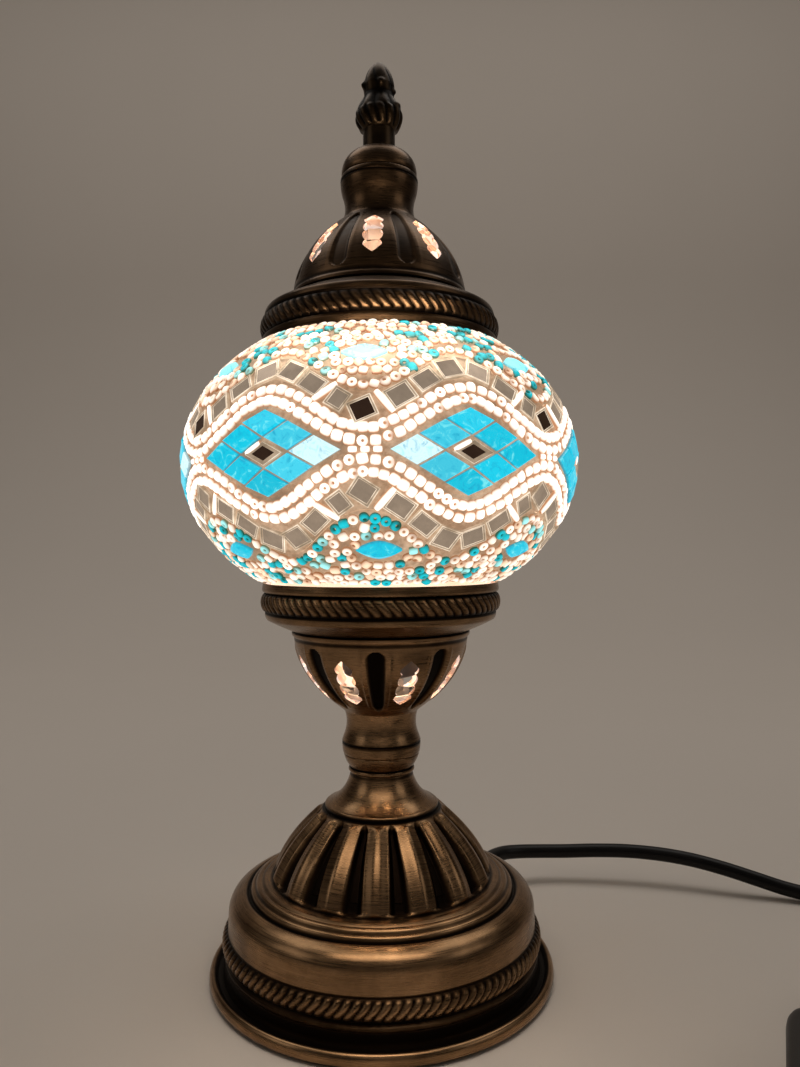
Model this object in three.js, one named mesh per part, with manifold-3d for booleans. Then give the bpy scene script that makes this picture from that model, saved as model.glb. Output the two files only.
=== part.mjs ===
// Table lamp with a mosaic glass globe, in millimetres, +Z up.
// The origin is the centre of the lamp's foot on the table. -Y is the front, +X is to the right.
// Each sub-part is one closed mesh, named after its piece.

import * as THREE from "three";
import { mergeVertices } from "three/addons/utils/BufferGeometryUtils.js";
import Module from "manifold-3d";

const wasm = await Module();
wasm.setup();

// ---------------------------------------------------------------- driving dimensions

const GAP = 0.3; // between pieces that touch on the real lamp
const WALL = 1.0; // spun brass sheet
const TURN = 2 * Math.PI;

const BASE_RIM_R = 60.5;
const BASE_WALL_R = 54.2;
const BASE_TOP_Z = 69.5;
const FELT_H = 1.2;

const STEM_R = 5.0; // threaded tube, M10
const STEM_BORE_R = 4.0;
const STEM_HOLE_R = STEM_R + GAP;
const STEM_Z = [52, 110];

const LOWER_RIM_Z = 137.2;
const LOWER_GALLERY_H = 61.0;
const UPPER_RIM_Z = 220.5;
const UPPER_GALLERY_H = 63.5;
const WINDOWS = 8; // pierced windows in each gallery
const LOWER_WINDOW_TURN = 20.5; // degrees from the front, towards +X
const UPPER_WINDOW_TURN = -3.5;

const GLOBE_Z = 179.2;
const GLOBE_R = 70; // over the mosaic
const GLOBE_HALF_H = 52.5;
const MOSAIC_T = 2.0;
const GLASS_CLEAR = 0.8;
const GLASS_T = 2.5;
const GLASS_NECK_R = 39.2;
const GLASS_NECK_Z = [126.0, 231.8];

const REPEATS = 7; // the mosaic pattern around the globe
const PATTERN_TURN = 23.6; // degrees from the front to a medallion's centre
const PATTERN_MID_Z = 177;
const WAVE_CREST = 17.5; // height of a bead wave's centreline over the pattern's middle
const WAVE_TROUGH = 4.6;
const WAVE_W = 7.6;
const MIRROR_W = 8.4;

const ROD_R = 4.0; // threaded rod, M8
const ROD_HOLE_R = ROD_R + GAP;
const ROD_Z = [251, 306];

const CORD_R = 3.0;
const EXIT_TURN = 54; // degrees from +X, where the cord leaves the base
const EXIT_Z = 13.5;
const RELIEF_END_R = 76; // distance of the strain relief's end from the lamp's axis

const SWITCH_AT = [119, -88];
const SWITCH_TURN = -25; // degrees
const SWITCH_HALF = [14, 32];
const SWITCH_CORD_Z = 8.8;
const ROCKER_TILT = 9; // degrees, switched on

const COIL_AT = [167.5, -125];
const COIL_R = [24.0, 41.7];
const COIL_Z = [1.0, 13.2];
const PLUG_AT = [212.6, -55];
const PLUG_Z = 7.3;

// ---------------------------------------------------------------- materials

const plain = (color, roughness, metalness) =>
  new THREE.MeshStandardMaterial({ color, roughness, metalness });

const bronze = plain(0x4a3a26, 0.38, 1.0);
const steel = plain(0xb4b4b0, 0.35, 1.0);
const iron = plain(0x3c3c3e, 0.7, 0.6);
const brass = plain(0xc9a24e, 0.3, 1.0);
const felt = plain(0x1c1a18, 0.95, 0.0);
const board = plain(0x6c5a44, 0.9, 0.0);
const blackPlastic = plain(0x15130f, 0.45, 0.0);
const ceramic = plain(0xe8e4da, 0.35, 0.0);
const clearGlass = plain(0xf4ead6, 0.08, 0.0);
const turquoise = plain(0x12b4cc, 0.15, 0.0);
const mirrorGlass = plain(0xa09684, 0.1, 0.6);
const seedBead = plain(0xfff4dc, 0.2, 0.0);

// ---------------------------------------------------------------- geometry helpers

const radians = THREE.MathUtils.degToRad;

// A manifold solid from a closed three.js geometry.
function solid(geometry) {
  const bare = geometry.index ? geometry.toNonIndexed() : geometry.clone();
  bare.deleteAttribute("normal");
  bare.deleteAttribute("uv");
  const merged = mergeVertices(bare, 1e-4);
  const triangles = [];
  for (let i = 0; i < merged.index.count; i += 3) {
    const [a, b, c] = [0, 1, 2].map((k) => merged.index.getX(i + k));
    if (a !== b && b !== c && c !== a) triangles.push(a, b, c);
  }
  const mesh = new wasm.Mesh({
    numProp: 3,
    vertProperties: new Float32Array(merged.attributes.position.array),
    triVerts: new Uint32Array(triangles),
  });
  return new wasm.Manifold(mesh);
}

function geometryOf(manifold) {
  const mesh = manifold.getMesh();
  const geometry = new THREE.BufferGeometry();
  geometry.setAttribute("position", new THREE.BufferAttribute(mesh.vertProperties, 3));
  geometry.setIndex(new THREE.BufferAttribute(mesh.triVerts, 1));
  geometry.computeVertexNormals();
  return geometry;
}

// A solid of revolution about Z. The outline is [r, z] points, anticlockwise,
// and starts and ends on the axis or closes on itself.
function turned(outline, segments) {
  const closed = outline[0][0] < 1e-6 ? outline : [...outline, outline[0]];
  const points = closed.map(([r, z]) => new THREE.Vector2(r, z));
  const geometry = new THREE.LatheGeometry(points, segments);
  return solid(geometry.rotateX(Math.PI / 2));
}

// The points of a path of lines and curves, as [x, y] pairs.
function pathPoints(path, divisions) {
  return path.getPoints(divisions).map((p) => [p.x, p.y]);
}

// The same outline moved inwards by a wall's thickness, for an outline that runs upwards.
function inset(points, wall) {
  const normalOf = (a, b) => {
    const length = Math.hypot(b[0] - a[0], b[1] - a[1]);
    return [-(b[1] - a[1]) / length, (b[0] - a[0]) / length];
  };
  return points.map((point, i) => {
    const before = i > 0 ? normalOf(points[i - 1], point) : normalOf(point, points[i + 1]);
    const after = i < points.length - 1 ? normalOf(point, points[i + 1]) : before;
    const sum = [before[0] + after[0], before[1] + after[1]];
    const mitre = (2 * wall) / (sum[0] ** 2 + sum[1] ** 2);
    return [point[0] + sum[0] * mitre, point[1] + sum[1] * mitre];
  });
}

function cylinder(radius, zLow, zHigh, segments = 16) {
  return turned([[0, zLow], [radius, zLow], [radius, zHigh], [0, zHigh]], segments);
}

function ring(rIn, rOut, zLow, zHigh, segments = 16) {
  return turned([[rIn, zLow], [rOut, zLow], [rOut, zHigh], [rIn, zHigh]], segments);
}

function prism(shape, zLow, zHigh, curveSegments = 4) {
  const geometry = new THREE.ExtrudeGeometry(shape, {
    depth: zHigh - zLow,
    bevelEnabled: false,
    curveSegments,
  });
  return solid(geometry.translate(0, 0, zLow));
}

function box(low, high) {
  const geometry = new THREE.BoxGeometry(high[0] - low[0], high[1] - low[1], high[2] - low[2]);
  const centre = low.map((value, i) => (value + high[i]) / 2);
  return solid(geometry.translate(...centre));
}

// A round bar of constant radius along a smooth curve through the points.
function bar(points, radius, sides, steps) {
  const section = new THREE.Shape();
  for (let i = 0; i < sides; i += 1) {
    const angle = (TURN * i) / sides;
    const corner = [radius * Math.cos(angle), radius * Math.sin(angle)];
    if (i === 0) section.moveTo(...corner);
    else section.lineTo(...corner);
  }
  section.closePath();
  const route = new THREE.CatmullRomCurve3(points.map((p) => new THREE.Vector3(...p)));
  const geometry = new THREE.ExtrudeGeometry(section, { steps, extrudePath: route });
  return solid(geometry);
}

function hexNut(acrossFlats, boreR, zLow, zHigh) {
  const hexagon = new THREE.Shape();
  const cornerR = acrossFlats / Math.sqrt(3);
  for (let i = 0; i < 6; i += 1) {
    const angle = (TURN * i) / 6;
    const corner = [cornerR * Math.cos(angle), cornerR * Math.sin(angle)];
    if (i === 0) hexagon.moveTo(...corner);
    else hexagon.lineTo(...corner);
  }
  hexagon.closePath();
  return prism(hexagon, zLow, zHigh).subtract(cylinder(boreR, zLow - 1, zHigh + 1));
}

// A piece made along +Z, laid down along +X and then turned about Z.
function alongGround(manifold, height, turnDegrees) {
  return manifold.rotate([0, 90, 0]).translate([0, 0, height]).rotate([0, 0, turnDegrees]);
}

// ---------------------------------------------------------------- the lamp's root group

const lamp = new THREE.Group();

function add(name, manifold, material, parent = lamp) {
  const mesh = new THREE.Mesh(geometryOf(manifold), material);
  mesh.name = name;
  parent.add(mesh);
  return mesh;
}

// ---------------------------------------------------------------- base

function baseCover() {
  const side = new THREE.Path();
  side.moveTo(54.8, 4.8);
  side.lineTo(BASE_WALL_R, 10.3);
  side.lineTo(55.8, 11.2);
  side.lineTo(55.8, 16.6);
  side.lineTo(BASE_WALL_R, 17.5);
  side.lineTo(54.0, 24.0);
  side.quadraticCurveTo(53.8, 29.0, 48.0, 29.8);
  side.lineTo(46.8, 29.6);
  side.quadraticCurveTo(45.5, 33.0, 38.0, 33.3);
  side.quadraticCurveTo(34.4, 45.6, 19.7, 57.6);
  side.quadraticCurveTo(13.0, 61.5, 11.0, BASE_TOP_Z);
  side.lineTo(STEM_HOLE_R, BASE_TOP_Z);
  const outer = pathPoints(side, 2);
  const inner = inset(outer, WALL).reverse();
  const rolledRim = [[53.6, 1.6], [57.4, 1.6], [57.4, 0.4], [59.6, 0.4], [BASE_RIM_R, 1.7],
    [60.2, 3.7], [59.2, 4.4], [57.2, 3.0], [55.6, 3.2]];
  inner[0] = [STEM_HOLE_R, inner[0][1]];
  const shell = turned([...rolledRim, ...outer, ...inner], 24);
  const exitHole = alongGround(cylinder(5.2, 40, 70, 16), EXIT_Z, EXIT_TURN);
  return shell.subtract(exitHole);
}

// The grommet that holds the cord in the base's wall, with its tapered sleeve outside.
function cordRelief() {
  const outline = [[0, 50.6], [6.6, 50.6], [6.6, 52.3], [4.8, 52.3], [4.8, 56.2], [6.8, 56.2],
    [6.8, 57.8], [5.4, 58.4], [3.9, RELIEF_END_R], [0, RELIEF_END_R]];
  return alongGround(turned(outline, 16), EXIT_Z, EXIT_TURN);
}

function baseInside() {
  add("felt_pad", cylinder(56.4, 0, FELT_H, 28), felt);
  add("bottom_disc", cylinder(52.4, FELT_H + GAP, 2.9, 28), board);
  add("base_weight", ring(18, 37, 3.2, 17.0, 20), iron);
}

// ---------------------------------------------------------------- stem and necks

function stem() {
  add("stem_tube", ring(STEM_BORE_R, STEM_R, ...STEM_Z, 20), steel);
  add("stem_nut_lower", hexNut(14, STEM_HOLE_R, 61.5, 65.5), steel);
  add("stem_washer_lower", ring(STEM_HOLE_R, 9.0, 65.8, 67.2), steel);
  add("stem_nut_upper", hexNut(14, STEM_HOLE_R, 98.2, 102.2), steel);
}

// The outline of a gallery pressing, as [r, height below its rim], from neck end to rim.
function galleryOutline(height, divisions) {
  const stretch = height / 60.3;
  const side = new THREE.Path();
  side.moveTo(13.5, 60.3);
  side.quadraticCurveTo(14.8, 56.5, 13.2, 53.0);
  side.quadraticCurveTo(11.6, 49.5, 13.7, 44.2);
  side.quadraticCurveTo(29.6, 33.0, 31.4, 17.7);
  side.quadraticCurveTo(37.0, 14.6, 40.9, 12.3);
  side.lineTo(41.3, 10.2);
  side.lineTo(42.4, 9.4);
  side.lineTo(42.4, 3.8);
  side.lineTo(41.8, 3.0);
  side.lineTo(42.1, 0);
  return pathPoints(side, divisions).map(([r, h]) => [r, h * stretch]);
}

// A window's outline, pointed at both ends with scalloped sides, around [0, 0].
function windowShape() {
  const half = [3.2, 2.5, 3.4, 2.5, 3.2];
  const shape = new THREE.Shape();
  const step = 3.2;
  const bottom = -step * 3;
  shape.moveTo(0, bottom);
  half.forEach((x, i) => shape.lineTo(x, bottom + step * (i + 1)));
  shape.lineTo(0, -bottom);
  [...half].reverse().forEach((x, i) => shape.lineTo(-x, -bottom - step * (i + 1)));
  shape.closePath();
  return shape;
}

// Cutters for the windows: each stands square to the dome's slope and points outwards.
function windowCutters(dropSign, rimZ, height, firstTurn) {
  const middleZ = rimZ + dropSign * 33.0 * (height / 60.3);
  const leanBack = dropSign * 27;
  const cutters = [];
  for (let i = 0; i < WINDOWS; i += 1) {
    const cutter = prism(windowShape(), -6, 8)
      .rotate([90, 0, 0])
      .rotate([-leanBack, 0, 0])
      .translate([0, -25.6, middleZ])
      .rotate([0, 0, firstTurn + (360 * i) / WINDOWS]);
    cutters.push(cutter);
  }
  return cutters;
}

// A gallery holds one end of the globe. The lower one opens upwards and the upper one downwards.
function gallery(dropSign, rimZ, height, firstTurn, boreR) {
  const neckToRim = galleryOutline(height, 3);
  const innerSide = inset(neckToRim.map(([r, h]) => [r, -h]), WALL);
  const floorH = 41.0;
  const inner = innerSide.filter(([, z]) => -z < floorH * (height / 60.3));
  const floorZ = -floorH * (height / 60.3);
  const outline = [[boreR, -neckToRim[0][1]], ...neckToRim.map(([r, h]) => [r, -h]),
    ...inner.reverse(), [16.5, floorZ], [boreR, floorZ]];
  let shell = turned(outline, 24);
  if (dropSign > 0) shell = shell.rotate([180, 0, 0]);
  shell = shell.translate([0, 0, rimZ]);
  for (const cutter of windowCutters(dropSign, rimZ, height, firstTurn)) {
    shell = shell.subtract(cutter);
  }
  return shell;
}

function neckBowl() {
  const low = BASE_TOP_Z + GAP;
  const high = LOWER_RIM_Z - LOWER_GALLERY_H - GAP;
  const side = new THREE.Path();
  side.moveTo(STEM_HOLE_R, low);
  side.lineTo(11.6, low);
  side.lineTo(11.9, low + 1.1);
  side.lineTo(11.2, low + 1.5);
  side.quadraticCurveTo(12.6, low + 3.5, 13.5, high);
  side.lineTo(STEM_HOLE_R, high);
  return turned(pathPoints(side, 2), 16);
}

// ---------------------------------------------------------------- lampholder, bulb and harp

function lampholder() {
  const shell = [[STEM_HOLE_R, 104], [13.0, 104], [14.0, 106], [14.0, 149.4], [12.4, 149.4],
    [12.4, 112], [STEM_HOLE_R, 112]];
  add("lampholder_shell", turned(shell, 16), blackPlastic);
  add("lampholder_insert", ring(7.3, 8.2, 121, 149, 20), brass);
  add("lampholder_contact", box([-3, -2, 118.6], [3, 2, 119.4]), brass);
  add("lampholder_core", cylinder(11.6, 113.2, 118.2, 20), ceramic);
}

function bulb() {
  const cap = [[0, 119.8], [2.2, 119.8], [2.6, 122.0], [6.6, 124.0], [6.9, 126.0], [6.9, 149.6],
    [0, 149.6]];
  add("bulb_cap", turned(cap, 20), steel);
  const ball = new THREE.Path();
  ball.moveTo(0, 150);
  ball.lineTo(8.0, 150);
  ball.quadraticCurveTo(10.0, 156, 16.5, 168.5);
  ball.absarc(0, 184, 22.5, -Math.PI / 4, Math.PI / 2 - 0.02, false);
  ball.lineTo(0, 206.5);
  add("bulb_envelope", turned(pathPoints(ball, 3), 16), ceramic);
}

// A wire frame from the lampholder's foot, past the bulb, to the rod that holds the top.
function harp() {
  const leg = [[10, 97.6], [16, 99.0], [20.5, 106], [24.5, 118], [27.5, 132], [28.2, 150],
    [28.2, 212], [26, 228], [19, 243], [11, 252.5], [6.5, 256]];
  let frame = ring(STEM_HOLE_R, 12.5, 96.1, 97.9, 20);
  for (const side of [1, -1]) {
    const points = leg.map(([r, z]) => [side * r, 0, z]);
    frame = frame.add(bar(points, 1.5, 6, 12));
  }
  return frame.add(ring(ROD_HOLE_R, 7.5, 254, 259, 16));
}

function topRod() {
  add("top_rod", cylinder(ROD_R, ...ROD_Z, 20), steel);
  add("rod_nut", hexNut(13, ROD_HOLE_R, 259.3, 263.2), steel);
}

// ---------------------------------------------------------------- globe

function glassGlobe() {
  const shrink = MOSAIC_T + GLASS_CLEAR;
  const [a, c] = [GLOBE_R - shrink, GLOBE_HALF_H - shrink];
  const neckTurn = Math.acos(GLASS_NECK_R / a);
  const meridian = (radius, halfHeight, count) => {
    const points = [];
    for (let i = 0; i <= count; i += 1) {
      const angle = neckTurn * ((2 * i) / count - 1);
      points.push([radius * Math.cos(angle), GLOBE_Z + halfHeight * Math.sin(angle)]);
    }
    return points;
  };
  const outer = meridian(a, c, 8);
  const inner = meridian(a - GLASS_T, c - GLASS_T, 8).reverse();
  const innerNeckR = inner[0][0];
  const outline = [[innerNeckR, GLASS_NECK_Z[0]], [GLASS_NECK_R, GLASS_NECK_Z[0]], ...outer,
    [GLASS_NECK_R, GLASS_NECK_Z[1]], [innerNeckR, GLASS_NECK_Z[1]], ...inner];
  return turned(outline, 28);
}

// Height of a bead wave's centreline over the pattern's middle, at an angle from the front.
function waveHeight(turnDegrees) {
  const phase = ((turnDegrees - PATTERN_TURN) * REPEATS * Math.PI) / 180;
  const swing = (WAVE_CREST - WAVE_TROUGH) / 2;
  return WAVE_TROUGH + swing * (1 + Math.cos(phase));
}

// A closed patch of the mosaic layer between two edges, which are heights as functions of
// the angle from the front. A patch that spans the whole turn is a closed band.
function mosaicPatch(lowEdge, highEdge, span, columns, rows) {
  const wholeTurn = Math.abs(span[1] - span[0] - 360) < 1e-6;
  const columnCount = wholeTurn ? columns : columns + 1;
  const positions = [];
  const latitude = (z) => Math.asin((z - GLOBE_Z) / GLOBE_HALF_H);
  for (const depth of [0, MOSAIC_T]) {
    for (let i = 0; i < columnCount; i += 1) {
      const turn = span[0] + ((span[1] - span[0]) * i) / columns;
      const [low, high] = [latitude(lowEdge(turn)), latitude(highEdge(turn))];
      for (let j = 0; j <= rows; j += 1) {
        const angle = low + ((high - low) * j) / rows;
        const r = (GLOBE_R - depth) * Math.cos(angle);
        const z = GLOBE_Z + (GLOBE_HALF_H - depth) * Math.sin(angle);
        positions.push(r * Math.sin(radians(turn)), -r * Math.cos(radians(turn)), z);
      }
    }
  }
  const layer = columnCount * (rows + 1);
  const at = (side, i, j) => side * layer + (i % columnCount) * (rows + 1) + j;
  const triangles = [];
  const quad = (a, b, c, d) => triangles.push(a, b, c, a, c, d);
  for (let i = 0; i < columns; i += 1) {
    for (let j = 0; j < rows; j += 1) {
      quad(at(0, i, j), at(0, i + 1, j), at(0, i + 1, j + 1), at(0, i, j + 1));
      quad(at(1, i, j), at(1, i, j + 1), at(1, i + 1, j + 1), at(1, i + 1, j));
    }
    quad(at(1, i, 0), at(1, i + 1, 0), at(0, i + 1, 0), at(0, i, 0));
    quad(at(0, i, rows), at(0, i + 1, rows), at(1, i + 1, rows), at(1, i, rows));
  }
  if (!wholeTurn) {
    for (let j = 0; j < rows; j += 1) {
      quad(at(1, 0, j), at(0, 0, j), at(0, 0, j + 1), at(1, 0, j + 1));
      quad(at(0, columns, j), at(1, columns, j), at(1, columns, j + 1), at(0, columns, j + 1));
    }
  }
  const geometry = new THREE.BufferGeometry();
  geometry.setAttribute("position", new THREE.Float32BufferAttribute(positions, 3));
  geometry.setIndex(triangles);
  return solid(geometry);
}

function mosaic() {
  const seam = 0.4;
  const half = WAVE_W / 2;
  const outerEdge = half + MIRROR_W;
  const fieldEnd = 40.6; // height of the bead fields' rim edges over and under the globe's middle
  const columns = 6 * REPEATS;
  const span = [PATTERN_TURN, PATTERN_TURN + 360];
  const sides = [["upper", 1], ["lower", -1]];
  for (const [side, sign] of sides) {
    const level = (offset) => (turn) => PATTERN_MID_Z + sign * (waveHeight(turn) + offset);
    const rim = () => GLOBE_Z + sign * fieldEnd;
    const band = (name, near, far, rows, material) => {
      const edges = sign > 0 ? [near, far] : [far, near];
      add(`${side}_${name}`, mosaicPatch(...edges, span, columns, rows), material);
    };
    band("bead_wave", level(-half), level(half), 1, seedBead);
    band("mirror_band", level(half + seam), level(outerEdge), 2, mirrorGlass);
    band("bead_field", level(outerEdge + seam), rim, 3, seedBead);
  }
  const medallionTurn = 20.5;
  const edge = (sign) => (turn) =>
    PATTERN_MID_Z + sign * (waveHeight(turn) - half - 2 * seam);
  for (let i = 0; i < REPEATS; i += 1) {
    const centre = PATTERN_TURN + (360 * i) / REPEATS;
    const patchSpan = [centre - medallionTurn, centre + medallionTurn];
    add(`medallion_${i + 1}`, mosaicPatch(edge(-1), edge(1), patchSpan, 6, 2), turquoise);
  }
}

// ---------------------------------------------------------------- top

function upperCollar() {
  const low = UPPER_RIM_Z + UPPER_GALLERY_H + GAP;
  const side = new THREE.Path();
  side.moveTo(ROD_HOLE_R, low);
  side.lineTo(13.5, low);
  side.quadraticCurveTo(13.4, low + 6.0, 9.6, low + 8.9);
  side.quadraticCurveTo(7.6, low + 10.3, 6.2, low + 10.7);
  side.lineTo(ROD_HOLE_R, low + 10.7);
  return turned(pathPoints(side, 3), 16);
}

function finial() {
  const low = UPPER_RIM_Z + UPPER_GALLERY_H + 11.0 + GAP;
  const boreEnd = ROD_Z[1] + 1.5;
  const side = new THREE.Path();
  side.moveTo(ROD_HOLE_R, low);
  side.lineTo(5.9, low);
  side.lineTo(5.8, 301.0);
  side.quadraticCurveTo(8.6, 302.5, 8.2, 306.0);
  side.quadraticCurveTo(7.6, 309.5, 5.6, 311.0);
  side.lineTo(5.6, 312.6);
  side.quadraticCurveTo(6.9, 315.0, 5.6, 317.5);
  side.quadraticCurveTo(4.2, 321.0, 0, 325.0);
  const outer = pathPoints(side, 3);
  const bore = [[0, boreEnd], [ROD_HOLE_R, boreEnd]];
  return turned([...bore, ...outer], 16);
}

// ---------------------------------------------------------------- cord

// A point on the lamp's exit line, at a distance from the lamp's axis.
function exitPoint(distance, z) {
  const angle = radians(EXIT_TURN);
  return [distance * Math.cos(angle), distance * Math.sin(angle), z];
}

// A point on the switch's own line, at a distance behind its centre.
function switchPoint(distance, z) {
  const angle = radians(SWITCH_TURN);
  return [SWITCH_AT[0] - distance * Math.sin(angle), SWITCH_AT[1] + distance * Math.cos(angle), z];
}

const SWITCH_RELIEF_END = 44;

const lampCordRoute = [
  exitPoint(RELIEF_END_R + GAP, EXIT_Z),
  exitPoint(80.5, EXIT_Z),
  [52.8, 70.4, 13.1],
  [60, 73.6, 12.5],
  [69.5, 75, 12.1],
  [80, 75, 12.1],
  [94, 74, 12.7],
  [108, 72, 13.1],
  [121.5, 69, 12.8],
  [134, 64.8, 11.9],
  [146.5, 60, 9.9],
  [158.5, 55.4, 7.2],
  [169, 52, 4.6],
  [178, 48.5, 3.3],
  [188, 42.5, 3.1],
  [196, 33, 3.1],
  [199.5, 21, 3.1],
  [198, 8, 3.1],
  [191.5, -4, 3.1],
  [181, -12.5, 3.1],
  [168.5, -18, 3.1],
  [157, -23, 3.6],
  [148.5, -30, 5.4],
  switchPoint(57, 7.8),
  switchPoint(50, 8.7),
  switchPoint(SWITCH_RELIEF_END + GAP, SWITCH_CORD_Z),
];

const plugCordRoute = [
  switchPoint(-SWITCH_RELIEF_END - GAP, SWITCH_CORD_Z),
  switchPoint(-50, 8.6),
  [96.2, -143, 6.2],
  [100.2, -156.2, 4.4],
  [109.5, -166.0, 4.0],
  [122, -169.8, 4.0],
  [138, -170.2, 4.0],
  [153, -170.1, 4.0],
  [167.5, -170.1, 4.1],
];

const plugTailRoute = [
  [212.6, -125, 9.9],
  [212.6, -117, 9.2],
  [212.6, -109, 8.0],
  [212.6, -102, 7.4],
  [212.6, -96.5, PLUG_Z],
];

function cords() {
  const innerRoute = [exitPoint(50.0, EXIT_Z), exitPoint(46, EXIT_Z + 0.5), exitPoint(38, 20),
    exitPoint(22, 29), exitPoint(8, 37), [0, 0, 48], [0, 0, 60], [0, 0, 85], [0, 0, 111.5]];
  add("inner_lead", bar(innerRoute, 2.8, 8, 16), blackPlastic);
  add("lamp_cord", bar(lampCordRoute, CORD_R, 10, 30), blackPlastic);
  add("plug_cord", bar(plugCordRoute, CORD_R, 10, 10), blackPlastic);
  add("plug_cord_tail", bar(plugTailRoute, CORD_R, 10, 3), blackPlastic);
  const coil = ring(...COIL_R, ...COIL_Z, 28);
  add("cord_coil", coil.translate([...COIL_AT, 0]), blackPlastic);
}

// A flat strap around the coil's turns, on the side nearest the lamp.
function cordTie() {
  const strap = 0.6;
  const width = 8;
  const low = [-COIL_R[1] - 1.2, -width / 2, 0.1];
  const high = [-COIL_R[0] + 2.2, width / 2, COIL_Z[1] + 1.1];
  const holeLow = [low[0] + strap, low[1] - 1, low[2] + strap];
  const holeHigh = [high[0] - strap, high[1] + 1, high[2] - strap];
  const hole = box(holeLow, holeHigh);
  const tie = box(low, high).subtract(hole);
  return tie.rotate([0, 0, -35]).translate([...COIL_AT, 0]);
}

// ---------------------------------------------------------------- inline switch

// The housing's plan outline, drawn in from its full size by a margin.
function switchPlan(margin) {
  const [x, y] = [SWITCH_HALF[0] - margin, SWITCH_HALF[1] - margin];
  const [shoulder, end] = [y - 12, x * 0.5];
  const plan = new THREE.Shape();
  plan.moveTo(-end, -y);
  plan.lineTo(end, -y);
  plan.quadraticCurveTo(x, -y, x, -shoulder);
  plan.lineTo(x, shoulder);
  plan.quadraticCurveTo(x, y, end, y);
  plan.lineTo(-end, y);
  plan.quadraticCurveTo(-x, y, -x, shoulder);
  plan.lineTo(-x, -shoulder);
  plan.quadraticCurveTo(-x, -y, -end, -y);
  return plan;
}

function inlineSwitch() {
  const split = 8.8;
  const floor = 0.3;
  const roof = 16.4;
  const skin = 1.8;
  const screwSpots = [[8.4, 15], [-8.4, -15]];
  const housing = new THREE.Group();
  housing.position.set(...SWITCH_AT, 0);
  housing.rotation.z = radians(SWITCH_TURN);
  lamp.add(housing);

  const cordPath = cylinder(3.7, -40, 40, 12).rotate([90, 0, 0]).translate([0, 0, SWITCH_CORD_Z]);
  let lower = prism(switchPlan(0), floor, split).subtract(prism(switchPlan(skin), 2.2, split + 1));
  let upper = prism(switchPlan(0), split + GAP, roof)
    .subtract(prism(switchPlan(skin), split - 1, roof - 2.0))
    .subtract(box([-6.6, -11.6, 10], [6.6, 11.6, 20]));
  for (const [x, y] of screwSpots) {
    lower = lower.add(cylinder(3.4, 1.0, split, 12).translate([x, y, 0]));
    lower = lower.subtract(cylinder(1.6, 0, 20, 12).translate([x, y, 0]));
    lower = lower.subtract(cylinder(2.8, -1, 2.0, 12).translate([x, y, 0]));
    upper = upper.add(cylinder(2.9, split + GAP, roof - 1.5, 12).translate([x * 1.04, y * 1.04, 0]));
    upper = upper.subtract(cylinder(1.6, 0, 13.2, 12).translate([x, y, 0]));
  }
  add("switch_lower_shell", lower.subtract(cordPath), blackPlastic, housing);
  add("switch_upper_shell", upper.subtract(cordPath), blackPlastic, housing);

  screwSpots.forEach(([x, y], i) => {
    const outline = [[0, 0.6], [2.4, 0.6], [2.4, 1.6], [1.25, 1.7], [1.25, 12.6], [0, 12.6]];
    const screw = turned(outline, 12).translate([x, y, 0]);
    add(`switch_screw_${i + 1}`, screw, steel, housing);
  });

  for (const [name, sign] of [["switch_relief_lamp", 1], ["switch_relief_plug", -1]]) {
    const outline = [[0, 27], [3.3, 27], [3.3, 32.4], [5.2, 32.4], [5.0, 33.6],
      [3.7, SWITCH_RELIEF_END], [0, SWITCH_RELIEF_END]];
    const relief = turned(outline, 12).rotate([-90 * sign, 0, 0]).translate([0, 0, SWITCH_CORD_Z]);
    add(name, relief, blackPlastic, housing);
  }
  add("switch_contacts", box([-4, -12, 3.0], [4, 12, 4.4]), brass, housing);

  const rocker = new THREE.Shape();
  rocker.moveTo(-10.4, -1.0);
  rocker.lineTo(0, -2.6);
  rocker.lineTo(10.4, -1.0);
  rocker.lineTo(10.4, 5.2);
  rocker.quadraticCurveTo(0, 2.6, -10.4, 5.2);
  rocker.closePath();
  const rockerSolid = prism(rocker, -6.2, 6.2, 6)
    .rotate([90, 0, 90])
    .rotate([ROCKER_TILT, 0, 0])
    .translate([0, 0, 12.6]);
  add("switch_rocker", rockerSolid, blackPlastic, housing);
}

// ---------------------------------------------------------------- mains plug

function mainsPlug() {
  const grip = new THREE.Group();
  grip.position.set(...PLUG_AT, PLUG_Z);
  lamp.add(grip);
  const body = new THREE.Shape();
  body.moveTo(-17.4, 18);
  body.lineTo(-17.4, 6);
  body.quadraticCurveTo(-15, -12, -7, -18);
  body.lineTo(7, -18);
  body.quadraticCurveTo(15, -12, 17.4, 6);
  body.lineTo(17.4, 18);
  body.closePath();
  add("plug_body", prism(body, -6.9, 6.9, 5), blackPlastic, grip);
  const relief = [[0, 18.3], [5.6, 18.3], [4.0, 41], [0, 41]];
  add("plug_relief", turned(relief, 12).rotate([90, 0, 0]), blackPlastic, grip);
  for (const [name, x] of [["plug_pin_left", -9.3], ["plug_pin_right", 9.3]]) {
    const pin = [[0, 18.3], [2.0, 18.3], [2.0, 36.6], [1.2, 37.3], [0, 37.3]];
    add(name, turned(pin, 12).rotate([-90, 0, 0]).translate([x, 0, 0]), brass, grip);
  }
}

// ---------------------------------------------------------------- assembly

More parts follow.
